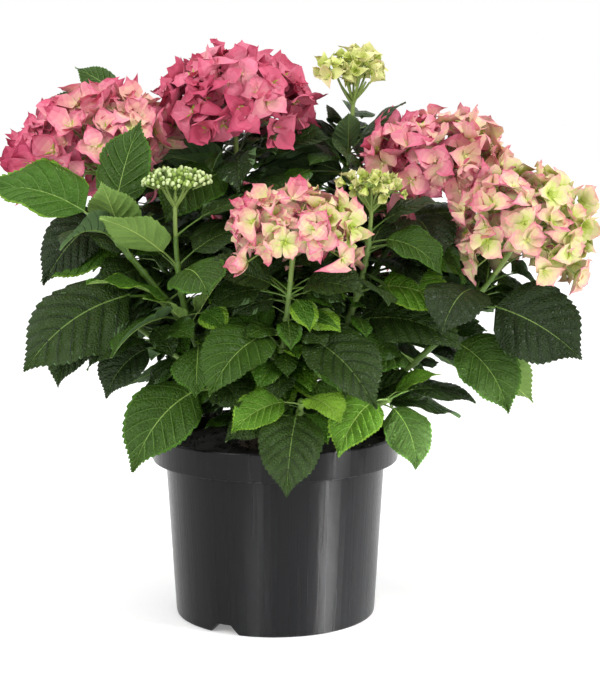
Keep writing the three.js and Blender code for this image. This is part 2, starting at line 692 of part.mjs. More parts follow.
names.forEach((name, index) => {
  const shoot = SHOOTS[name];
  if (!shoot.head) return;
  const kind = shoot.head.florets ? "flowers_" : "buds_";
  const bloom = headSolid(curves[index], shoot, index);
  fixed.set(kind + name, boxed(bloom));
  place(kind + name, bloom, shoot.head.florets ? MATERIALS.sepal : MATERIALS.bud);
});

// The leaf without its stalk, which is what has to stand clear of the mass's own stem.
function bladeRoom(parts, spec) {
  const near = parts.base.clone().lerp(parts.node, 0.45);
  return solid(leafGeometry(near, parts.base, spec, 0.35));
}

// Each leaf keeps its place, or the nearest of a few turns of it that touches nothing.
function growLeaf(mass, spec) {
  const strangers = [...fixed.values()];
  for (const other of masses) {
    if (other !== mass) strangers.push(other.stem, ...other.leaves);
  }
  for (const [up, round, shrink] of TRIES) {
    const tried = {
      ...spec, rise: spec.rise + up, heading: spec.heading + round,
      length: spec.length * shrink, width: spec.width * shrink,
    };
    const parts = leafFrame(mass.curve, tried, STEM.tip);
    if (touches(solid(leafGeometry(parts.node, parts.base, tried, 0.35)), strangers)) continue;
    if (touches(bladeRoom(parts, tried), [mass.stem, ...mass.leaves])) continue;
    mass.leaves.push(boxed(solid(leafGeometry(parts.node, parts.base, tried, 0))));
    return true;
  }
  return false;
}

for (const pass of [0, 1, 2]) {
  for (const mass of masses) {
    for (const spec of mass.specs[pass]) growLeaf(mass, spec);
  }
}

for (const mass of masses) {
  let body = mass.stem.shape;
  for (const leaf of mass.leaves) body = body.add(leaf.shape);
  place("leaves_" + mass.name, body, MATERIALS.leaf);
}

export default plant;
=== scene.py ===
# %% [markdown]
# # A mophead hydrangea in its nursery pot
# The real plant is a woody crown with a dozen canes, opposite pairs of broad toothed leaves and
# rounded heads of papery four-part florets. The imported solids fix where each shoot, leaf and head
# sits. Here the same growing rule runs again and is carried finer, so the looks lie where the
# solids are. Lengths are worked out in millimetres and turned to metres when a mesh is made.

# %% Load the frame and keep its box
import math

import bpy
import numpy as np
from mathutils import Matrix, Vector
from mathutils.bvhtree import BVHTree


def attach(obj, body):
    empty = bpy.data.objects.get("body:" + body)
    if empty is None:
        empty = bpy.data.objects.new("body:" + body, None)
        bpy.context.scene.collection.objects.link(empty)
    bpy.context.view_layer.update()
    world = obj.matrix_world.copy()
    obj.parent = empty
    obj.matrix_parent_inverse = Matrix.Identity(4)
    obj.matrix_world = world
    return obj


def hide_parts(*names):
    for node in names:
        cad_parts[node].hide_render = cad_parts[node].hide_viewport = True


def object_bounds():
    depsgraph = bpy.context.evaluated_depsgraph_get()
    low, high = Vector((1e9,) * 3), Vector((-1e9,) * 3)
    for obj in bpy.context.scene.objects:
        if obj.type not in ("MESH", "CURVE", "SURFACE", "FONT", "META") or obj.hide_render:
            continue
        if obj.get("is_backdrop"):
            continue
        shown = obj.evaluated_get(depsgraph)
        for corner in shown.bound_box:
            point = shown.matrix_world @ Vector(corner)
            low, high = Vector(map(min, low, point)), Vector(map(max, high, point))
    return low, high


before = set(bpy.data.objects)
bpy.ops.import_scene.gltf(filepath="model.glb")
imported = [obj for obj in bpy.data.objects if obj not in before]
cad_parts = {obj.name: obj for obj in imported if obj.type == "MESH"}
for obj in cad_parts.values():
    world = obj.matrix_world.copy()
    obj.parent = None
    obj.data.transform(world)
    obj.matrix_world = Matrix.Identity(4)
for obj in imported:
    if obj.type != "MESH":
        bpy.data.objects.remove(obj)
cad_low, cad_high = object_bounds()
MM = 0.001
print("frame box in mm:", [round(1000 * v) for v in (*cad_low, *cad_high)])

# %% [markdown]
# ## Camera, light and floor
# A product stand has one large pale sweep and soft light from all round. A softbox stands on
# each side and one hangs overhead, and two slim strips stand low for the pot. The camera could be
# placed by eye. It is worked out from the pot's rings instead: it stands 1.56 m in front, 0.47 m
# up, and looks down by about 8 degrees through a 90 mm lens.

# %% Camera
CAMERA_PLACE = (0.023, -1.56, 0.471)
LOOKS_DOWN = 7.94

scene = bpy.context.scene
camera_data = bpy.data.cameras.new("camera")
camera_data.lens = 90
camera_data.sensor_width = 36
camera = bpy.data.objects.new("camera", camera_data)
scene.collection.objects.link(camera)
camera.location = CAMERA_PLACE
camera.rotation_euler = (math.radians(90 - LOOKS_DOWN), 0, 0)
scene.camera = camera
scene.view_settings.view_transform = "Standard"
print("camera at", tuple(camera.location))

# %% A few helpers for materials
def linear(hex_colour):
    """sRGB hex to the linear colour that shaders use."""
    def channel(pair):
        v = int(pair, 16) / 255
        return v / 12.92 if v <= 0.04045 else ((v + 0.055) / 1.055) ** 2.4
    h = hex_colour.lstrip("#")
    return (channel(h[0:2]), channel(h[2:4]), channel(h[4:6]), 1)


def add_node(material, kind, settings=None, links=None):
    """Adds a node. settings holds inputs and properties, links holds input: output socket."""
    tree = material.node_tree
    node = tree.nodes.new(kind)
    for key, value in (settings or {}).items():
        if isinstance(key, str) and hasattr(node, key):
            setattr(node, key, value)
        else:
            node.inputs[key].default_value = value
    for key, socket in (links or {}).items():
        tree.links.new(socket, node.inputs[key])
    return node


def new_finish(name, hex_colour, roughness, **sockets):
    """A Principled material; returns it with its shader node and its object coordinates."""
    material = bpy.data.materials.new(name)
    material.use_nodes = True
    shader = material.node_tree.nodes["Principled BSDF"]
    shader.inputs["Base Color"].default_value = linear(hex_colour)
    shader.inputs["Roughness"].default_value = roughness
    for key, value in sockets.items():
        shader.inputs[key.replace("_", " ")].default_value = value
    place = add_node(material, "ShaderNodeTexCoord").outputs["Object"]
    return material, shader, place


def join_up(material, socket, shader, key):
    """Links an output socket to an input of the shader."""
    material.node_tree.links.new(socket, shader.inputs[key])


def mottle(material, shader, place, noise, dark, pale, bump=None):
    """A cloudy noise that mixes dark and pale and, where bump is given, lifts the surface.

    noise is its scale, detail and roughness: a scale of 400 makes grains 1000 / 400 = 2.5 mm
    wide. bump is its strength and how high the relief is in metres.
    """
    cloud = add_node(
        material, "ShaderNodeTexNoise", dict(zip(("Scale", "Detail", "Roughness"), noise)),
        {"Vector": place},
    )
    tint = add_node(
        material, "ShaderNodeMix", {"data_type": "RGBA", 6: dark, 7: pale},
        {"Factor": cloud.outputs["Fac"]},
    )
    join_up(material, tint.outputs[2], shader, "Base Color")
    if bump:
        relief = add_node(
            material, "ShaderNodeBump", {"Strength": bump[0], "Distance": bump[1]},
            {"Height": cloud.outputs["Fac"]},
        )
        join_up(material, relief.outputs[0], shader, "Normal")


def only(*things):
    """Selects these objects and nothing else, the first of them active."""
    bpy.ops.object.select_all(action="DESELECT")
    for thing in things:
        thing.select_set(True)
    bpy.context.view_layer.objects.active = things[0]


bpy.ops.object.select_all(action="DESELECT")
print("helpers ready")

# %% Floor and lights
bpy.ops.mesh.primitive_plane_add(size=24, location=(0, 0, 0))
floor = bpy.context.object
floor.name = "floor"
# a matt white sheet with a faint light of its own, so that the shadows on it stay pale
paper, _, _ = new_finish(
    "white_light_table", "#fbfbfb", 0.9, Emission_Color=(1, 1, 1, 1), Emission_Strength=0.22
)
floor.data.materials.append(paper)
floor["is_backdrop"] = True

world = bpy.data.worlds.new("white_studio")
scene.world = world
world.use_nodes = True
world.node_tree.nodes["Background"].inputs["Color"].default_value = (1, 1, 1, 1)
world.node_tree.nodes["Background"].inputs["Strength"].default_value = 1.0


def softbox(name, place, aim, width, height, power, spread=180):
    """A flat lamp. Sizes are in metres, power in watts and the beam's spread in degrees."""
    data = bpy.data.lights.new(name, "AREA")
    data.shape = "RECTANGLE"
    data.size = width
    data.size_y = height
    data.energy = power
    data.spread = math.radians(spread)
    lamp = bpy.data.objects.new(name, data)
    scene.collection.objects.link(lamp)
    lamp.location = place
    lamp.rotation_euler = (Vector(aim) - Vector(place)).to_track_quat("-Z", "Y").to_euler()


softbox("softbox_left", (-1.4, -1.5, 1.5), (0, 0, 0.3), 0.3, 0.6, 17)
softbox("softbox_right", (1.7, -0.9, 1.4), (0, 0, 0.25), 0.3, 0.6, 16)
# two gridded strips stand low and light the pot alone
softbox("strip_left", (-0.70, -2.08, 0.12), (0, 0, 0.03), 0.03, 0.24, 0.12, 7)
softbox("strip_right", (1.84, -1.20, 0.12), (0, 0, 0.03), 0.035, 0.24, 0.95, 7)
softbox("softbox_top", (0.1, 0.1, 2.1), (0, 0, 0.3), 0.6, 0.6, 8)

# %% [markdown]
# ## Nursery pot
# The real pot is black polypropylene, injection moulded in one shot: a thin tapered wall with a
# wide rim band and three notches in its standing ring. It could be a turned profile. Extruding
# and scaling one ring after another gives the same closed wall and keeps each step readable.

# %% Turn the pot
RING_STEPS = 144
POT_PROFILE = [
    (62, 0), (66, 8), (84, 8), (88, 0), (91, 0), (92.4, 0.8), (93, 3), (101.3, 142),
    (101.9, 143.9), (103, 144.7), (111.6, 145), (113.2, 145.6), (113.9, 147), (115, 168.4),
    (115.3, 169), (115.2, 170), (114.4, 170.9), (113.4, 171), (112.6, 170.4), (112.3, 169),
    (111.4, 148.5), (110.6, 147.4), (101.2, 145.6), (99.4, 143), (91, 12), (86, 10.5),
    (64, 10.5), (60, 2.5),
]


def turn(name, profile, steps):
    """Extrudes a disc up through the profile's rings; the last ring closes the inside."""
    radius, height = profile[0]
    bpy.ops.object.select_all(action="DESELECT")
    bpy.ops.mesh.primitive_circle_add(
        vertices=steps, radius=radius * MM, fill_type="NGON", location=(0, 0, height * MM)
    )
    piece = bpy.context.object
    piece.name = name
    bpy.ops.object.transform_apply(location=True, rotation=True, scale=True)
    bpy.ops.object.mode_set(mode="EDIT")
    bpy.ops.mesh.select_mode(type="FACE")
    bpy.ops.mesh.select_all(action="SELECT")
    for wide, high in profile[1:]:
        bpy.ops.mesh.extrude_region_move(
            TRANSFORM_OT_translate={"value": (0, 0, (high - height) * MM)}
        )
        share = wide / radius
        bpy.ops.transform.resize(value=(share, share, 1), center_override=(0, 0, high * MM))
        radius, height = wide, high
    bpy.ops.mesh.select_all(action="SELECT")
    bpy.ops.mesh.normals_make_consistent(inside=False)
    bpy.ops.object.mode_set(mode="OBJECT")
    return piece


pot = turn("pot_shell", POT_PROFILE, RING_STEPS)
print("pot faces:", len(pot.data.polygons))

# %% Cut the drain notches
NOTCH_HEADINGS = (-119, 1, 121)
NOTCH_FROM_AXIS = 0.090
NOTCH_BOX = (0.022, 0.046, 0.018)
NOTCH_TOP_SHARE = 14 / 46
for heading in NOTCH_HEADINGS:
    way = math.radians(heading)
    bpy.ops.object.select_all(action="DESELECT")
    bpy.ops.mesh.primitive_cube_add(size=1, location=(0, 0, 0))
    cutter = bpy.context.object
    cutter.scale = NOTCH_BOX
    bpy.ops.object.transform_apply(location=False, rotation=False, scale=True)
    for corner in cutter.data.vertices:
        if corner.co.z > 0:
            corner.co.y *= NOTCH_TOP_SHARE
    cutter.location = (NOTCH_FROM_AXIS * math.cos(way), NOTCH_FROM_AXIS * math.sin(way), 0)
    cutter.rotation_euler = (0, 0, way)
    cut = pot.modifiers.new("notch", "BOOLEAN")
    cut.object = cutter
    cut.operation = "DIFFERENCE"
    cut.solver = "EXACT"
    only(pot)
    bpy.ops.object.modifier_apply(modifier="notch")
    bpy.data.objects.remove(cutter)
pot.data.shade_smooth()
pot.data.set_sharp_from_angle(angle=math.radians(38))
print("pot faces with notches:", len(pot.data.polygons))

# %% [markdown]
# ### Moulded polypropylene
# The mould is polished up and down, so the wall carries fine upright lines that pull each
# reflection into narrow bright streaks. They are drawn on the angle round the pot.

# %% Finish of the pot
plastic, plastic_shader, at = new_finish(
    "moulded_black_polypropylene", "#0b0b0c", 0.4,
    Specular_IOR_Level=0.15, Anisotropic=0.95, Anisotropic_Rotation=0.25,
)
round_z = add_node(plastic, "ShaderNodeTangent", {"direction_type": "RADIAL", "axis": "Z"})
join_up(plastic, round_z.outputs[0], plastic_shader, "Tangent")
split = add_node(plastic, "ShaderNodeSeparateXYZ", links={"Vector": at})
angle = add_node(
    plastic, "ShaderNodeMath", {"operation": "ARCTAN2"},
    {0: split.outputs["Y"], 1: split.outputs["X"]},
)
# 115 mm of radius times the angle gives millimetres round the wall; up the wall the pattern is
# drawn out about a hundred times, so that it makes upright lines
round_wall = add_node(
    plastic, "ShaderNodeMath", {"operation": "MULTIPLY", 1: 115.0}, {0: angle.outputs[0]}
)
up_wall = add_node(
    plastic, "ShaderNodeMath", {"operation": "MULTIPLY", 1: 9.0}, {0: split.outputs["Z"]}
)
on_wall = add_node(
    plastic, "ShaderNodeCombineXYZ", links={"X": round_wall.outputs[0], "Y": up_wall.outputs[0]}
)
# polish lines about 3 mm apart, with finer ones between
lines = add_node(
    plastic, "ShaderNodeTexNoise", {"Scale": 0.34, "Detail": 5.0, "Roughness": 0.65},
    {"Vector": on_wall.outputs[0]},
)
soft_lines = add_node(
    plastic, "ShaderNodeTexNoise", {"Scale": 0.09, "Detail": 2.0, "Roughness": 0.5},
    {"Vector": on_wall.outputs[0]},
)
rough_range = add_node(
    plastic, "ShaderNodeMapRange",
    {"From Min": 0.3, "From Max": 0.7, "To Min": 0.24, "To Max": 0.3},
    {"Value": soft_lines.outputs["Fac"]},
)
join_up(plastic, rough_range.outputs[0], plastic_shader, "Roughness")
line_bump = add_node(
    plastic, "ShaderNodeBump", {"Strength": 0.5, "Distance": 0.0005},
    {"Height": lines.outputs["Fac"]},
)
join_up(plastic, line_bump.outputs[0], plastic_shader, "Normal")
pot.data.materials.append(plastic)
# the inside of the mould isn't polished, and dust of the compost clings to it: dull and flat
inner_wall, _, _ = new_finish("dusty_inner_wall", "#0c0b0a", 0.9, Specular_IOR_Level=0.08)
pot.data.materials.append(inner_wall)
for face in pot.data.polygons:
    if face.center.z > 0.02 and face.center.xy.dot(face.normal.xy) < 0 and face.normal.z < 0.6:
        face.material_index = 1
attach(pot, "root")
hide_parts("pot")
print("pot dressed")

# %% [markdown]
# ## Heaps: many small shapes in one mesh
# Leaves, sepals and crumbs come by the hundred. Each could be an instance, but joined meshes
# made from arrays keep their faces, their spray of colours and their names in the export.

# %% A heap of small shapes
class Heap:
    """Gathers the points and faces of many small shapes and makes them one mesh."""

    def __init__(self):
        self.points = []
        self.faces = {3: [], 4: []}
        self.slots = {3: [], 4: []}
        self.count = 0

    def add(self, points, faces, slots):
        """points in mm; faces and slots are lists of arrays of three or four corners."""
        points = np.asarray(points, float).reshape(-1, 3)
        for rows, colours in zip(faces, slots):
            rows = np.asarray(rows, int)
            if len(rows) == 0:
                continue
            self.faces[rows.shape[1]].append(rows + self.count)
            self.slots[rows.shape[1]].append(np.broadcast_to(colours, len(rows)))
        self.points.append(points)
        self.count += len(points)

    def make(self, name, finishes, sharp=50):
        points = np.concatenate(self.points) * MM
        corners = []
        slots = []
        sizes = []
        for sides in (3, 4):
            if self.faces[sides]:
                rows = np.concatenate(self.faces[sides])
                corners.append(rows.ravel())
                slots.append(np.concatenate(self.slots[sides]))
                sizes.append(np.full(len(rows), sides))
        corners = np.concatenate(corners)
        slots = np.concatenate(slots)
        sizes = np.concatenate(sizes)
        starts = np.concatenate([[0], np.cumsum(sizes)[:-1]])
        mesh = bpy.data.meshes.new(name)
        mesh.vertices.add(len(points))
        mesh.vertices.foreach_set("co", points.astype(np.float32).ravel())
        mesh.loops.add(len(corners))
        mesh.loops.foreach_set("vertex_index", corners.astype(np.int32))
        mesh.polygons.add(len(sizes))
        mesh.polygons.foreach_set("loop_start", starts.astype(np.int32))
        for finish in finishes:
            mesh.materials.append(finish)
        mesh.polygons.foreach_set("material_index", slots.astype(np.int32))
        mesh.update(calc_edges=True)
        mesh.validate()
        mesh.shade_smooth()
        mesh.set_sharp_from_angle(angle=math.radians(sharp))
        piece = bpy.data.objects.new(name, mesh)
        scene.collection.objects.link(piece)
        print(name, "triangles:", int((sizes - 2).sum()))
        return piece


print("a heap takes faces of three and of four corners")

# %% A repeatable stream, and directions
def random_stream(seed):
    """A repeatable stream of numbers from 0 to 1, the same as the solids grow by.

    Each use below starts from a seed of its own, so a change in one doesn't shift the others.
    """
    state = [seed]

    def draw():
        state[0] = state[0] * 16807 % 2147483647
        return state[0] / 2147483647
    return draw


def pointing(heading, rise):
    """The direction with this heading and rise, both in degrees."""
    h = math.radians(heading)
    r = math.radians(rise)
    return np.array([math.cos(r) * math.cos(h), math.cos(r) * math.sin(h), math.sin(r)])


def unit(vectors):
    """The same directions with a length of 1."""
    vectors = np.asarray(vectors, float)
    return vectors / np.maximum(np.linalg.norm(vectors, axis=-1, keepdims=True), 1e-9)


print("heading 90, rise 0 points along", pointing(90, 0).round(3))

# %% A limb along a path
def tube(path, radii, sides, wobble=None):
    """A closed round limb along a path: rings, side faces and two end caps."""
    path = np.asarray(path, float)
    count = len(path)
    ahead = unit(np.gradient(path, axis=0))
    side = np.cross(ahead[0], [0.0, 0.0, 1.0])
    if np.linalg.norm(side) < 0.1:
        side = np.cross(ahead[0], [1.0, 0.0, 0.0])
    sides_of = []
    for k in range(count):
        side = side - ahead[k] * side.dot(ahead[k])
        side = side / np.linalg.norm(side)
        sides_of.append(side)
    across = np.array(sides_of)
    other = np.cross(ahead, across)
    turn_angle = np.arange(sides) * 2 * math.pi / sides
    reach = np.asarray(radii, float).reshape(count, 1) * np.ones((1, sides))
    if wobble is not None:
        reach = reach + wobble
    points = (
        path[:, None, :]
        + across[:, None, :] * (np.cos(turn_angle)[None, :, None] * reach[:, :, None])
        + other[:, None, :] * (np.sin(turn_angle)[None, :, None] * reach[:, :, None])
    )
    k, i = np.meshgrid(np.arange(count - 1), np.arange(sides), indexing="ij")
    j = (i + 1) % sides
    quads = np.stack([k * sides + i, k * sides + j, (k + 1) * sides + j, (k + 1) * sides + i], -1)
    foot = count * sides
    tip = foot + 1
    ring = np.arange(sides)
    following = (ring + 1) % sides
    first = np.stack([np.full(sides, foot), following, ring], -1)
    last_ring = (count - 1) * sides
    last = np.stack([np.full(sides, tip), last_ring + ring, last_ring + following], -1)
    points = np.concatenate([points.reshape(-1, 3), path[:1], path[-1:]])
    return points, quads.reshape(-1, 4), np.concatenate([first, last])


def add_tube(heap, path, radii, sides, slot):
    """Adds a plain limb that has one finish all over."""
    points, quads, caps = tube(path, radii, sides)
    heap.add(points, [quads, caps], [slot, slot])


print("faces of a short limb:", len(tube([[0, 0, 0], [0, 0, 1]], [1, 1], 6)[1]))

# %% [markdown]
# ## Compost
# Real potting compost is dark, moist and crumbly: fine peat with bark chips, fibres and a few
# pale grains. The body is turned like the pot, its top is roughened, and crumbs lie on it.

# %% Turn and roughen the compost
SOIL_TOP = 158
# from this height up, in metres, the compost is loose and is roughened
LOOSE_FROM = 0.1552
COMPOST_PROFILE = [
    (59.5, 2.8), (63.5, 10.8), (86, 10.8), (90.5, 12.4), (98.8, 143), (110.2, 148),
    (111.0, 155), (108, 156), (104, 156.3), (100, 156.4), (95, 156.2), (90, 156), (85, 155.8),
    (80, 156), (75, 157), (70, 158), (65, 158.6), (60, 158.6), (55, 158.2), (50, 158),
    (45, 158), (40, 158), (35, 158), (30, 158), (25, 158), (20, 158), (15, 158), (10, 158),
]
compost = turn("compost", COMPOST_PROFILE, 96)


def lumps(points, size, seed, count=28):
    """A smooth random height from a sum of waves, for points in mm."""
    draw = random_stream(seed)
    total = np.zeros(len(points))
    for _ in range(count):
        a, b, c = (2 * math.pi * draw() for _ in range(3))
        reach = 2 * math.pi / (size * (0.6 + 0.8 * draw()))
        way = np.array([math.cos(a) * math.cos(b), math.sin(a) * math.cos(b), math.sin(b)])
        total += np.sin(points @ way * reach + c)
    return total / math.sqrt(count)


def read_points(piece):
    """The points of a piece as rows of x, y and z in metres."""
    co = np.empty(len(piece.data.vertices) * 3, np.float32)
    piece.data.vertices.foreach_get("co", co)
    return co.reshape(-1, 3).astype(float)


def write_points(piece, co):
    piece.data.vertices.foreach_set("co", co.astype(np.float32).ravel())


co = read_points(compost)
high = co[:, 2] > LOOSE_FROM
rough = 0.5 * lumps(co / MM, 9, 11) + 0.35 * lumps(co / MM, 4, 12)
co[high, 2] += np.clip(rough[high], -1.4, 1.2) * MM
write_points(compost, co)
compost.data.shade_smooth()
print("compost faces:", len(compost.data.polygons))

# %% Crumbs, chips and pale grains
CRUMB = np.array([
    [1, 0, 0], [0.5, 0.8, 0.1], [-0.5, 0.85, -0.1], [-1, 0, 0.1], [-0.5, -0.8, 0], [0.5, -0.85, 0],
    [0.2, 0.1, 0.9], [-0.1, -0.1, -0.9],
])
CRUMB_FACES = np.array(
    [[i, (i + 1) % 6, 6] for i in range(6)] + [[(i + 1) % 6, i, 7] for i in range(6)]
)
BED_CRUMBS, BED_RADIUS, BED_HEIGHT = 1700, 109, 157.6
FOOT_CRUMBS, FOOT_RADIUS, FOOT_HEIGHT = 260, 29, 157.8


def uneven(draw):
    """Random factors that push the corners of one crumb in and out."""
    pushes = np.array([draw() for _ in range(CRUMB.size)]).reshape(CRUMB.shape)
    return 1 + 0.35 * (pushes - 0.5)


draw = random_stream(321)
crumbs = Heap()
for _ in range(BED_CRUMBS):
    radius = BED_RADIUS * math.sqrt(draw())
    angle_at = 2 * math.pi * draw()
    if radius < 30 and draw() < 0.6:
        continue
    size = 0.5 + 1.9 * draw() ** 3
    chip = draw() < 0.12
    stretch = np.array([2.2, 0.9, 0.4]) if chip else np.array([1.1, 0.9, 0.8])
    shape = CRUMB * stretch * size * uneven(draw)
    turn_at = 2 * math.pi * draw()
    tilt = 0.9 * (draw() - 0.5)
    c, s = math.cos(turn_at), math.sin(turn_at)
    shape = shape @ np.array([[c, s, 0], [-s, c, 0], [0, 0, 1]])
    shape[:, 2] += shape[:, 0] * math.tan(tilt)
    # the bed dips in a shallow ring near the wall
    ground = BED_HEIGHT - (1.6 if 78 < radius < 103 else 0)
    shape += [radius * math.cos(angle_at), radius * math.sin(angle_at), ground + 0.25 * size]
    colour = 3 if draw() < 0.02 else (1 if chip else (2 if draw() < 0.3 else 0))
    crumbs.add(shape, [CRUMB_FACES], [colour])

# more crumbs are drawn up round the foot of the crown
for _ in range(FOOT_CRUMBS):
    radius = FOOT_RADIUS + 17 * draw()
    angle_at = 2 * math.pi * draw()
    size = 0.8 + 1.5 * draw() ** 2
    shape = CRUMB * size * uneven(draw)
    ground = FOOT_HEIGHT + 0.85 * max(0, 36.5 - radius)
    shape += [radius * math.cos(angle_at), radius * math.sin(angle_at), ground + 0.3 * size]
    crumbs.add(shape, [CRUMB_FACES], [2 if draw() < 0.3 else 0])
print("crumbs dealt:", crumbs.count // len(CRUMB))

# %% [markdown]
# ### Peat, bark chips and grit
# Moist peat swallows light, so it is nearly black and quite matt, with grains of about 2.4 mm
# that mottle it. Chips of bark are a warmer brown and a little less dull, and a few grains of
# pale grit stand out.

# %% Finish of the compost
peat, peat_shader, at = new_finish("moist_peat", "#120d0b", 0.92)
mottle(
    peat, peat_shader, at, (420.0, 6.0, 0.7), linear("#0a0706"), linear("#1d1511"),
    (0.8, 0.0012),
)
bark_chip, _, _ = new_finish("wet_bark_chip", "#251a12", 0.8)
fibre, _, _ = new_finish("peat_fibre", "#19120e", 0.9)
grit, _, _ = new_finish("pale_grit", "#9a9186", 0.8)
compost.data.materials.append(peat)
crumb_piece = crumbs.make("compost_crumbs", [peat, bark_chip, fibre, grit], sharp=35)
for piece in (compost, crumb_piece):
    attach(piece, "root")
    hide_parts("soil")
print("compost dressed")

# %% [markdown]
# ## The growing rule
# Each shoot leaves a facet of the crown, passes a middle point and ends at its tip, as one
# curve. Leaves stand on it in pairs, each pair turned by a right angle from the last. The same
# numbers and the same repeatable random stream give the same places as in the solids.

# %% Sizes of the shoots
FACETS = {
    "lower": {"radius": 23, "height": 22, "run": 6, "climb": 16},
    "upper": {"radius": 14, "height": 35, "run": 12, "climb": 10},
}
CROWN_SIDES = 8
GAP = 0.3
CANE_FOOT, CANE_TIP = 4.4, 3.2
STEM_FOOT, STEM_TIP = 3.0, 2.2
LEAF = {
    "width_ratio": 0.66, "widest": 0.39, "base_power": 0.55, "tip_power": 0.85,
    "fold": 0.1, "petiole": 0.26, "turn_out": 40,
}
TRIES = [
    (0, 0, 1), (7, 0, 1), (-7, 0, 1), (0, 10, 1), (0, -10, 1), (14, 0, 1), (-14, 0, 1),
    (10, 18, 1), (10, -18, 1), (-12, 18, 1), (-12, -18, 1), (22, 0, 1), (-22, 0, 1),
    (0, 0, 0.75), (12, 0, 0.75), (-12, 0, 0.75), (6, 24, 0.75), (6, -24, 0.75), (-18, 12, 0.75),
]

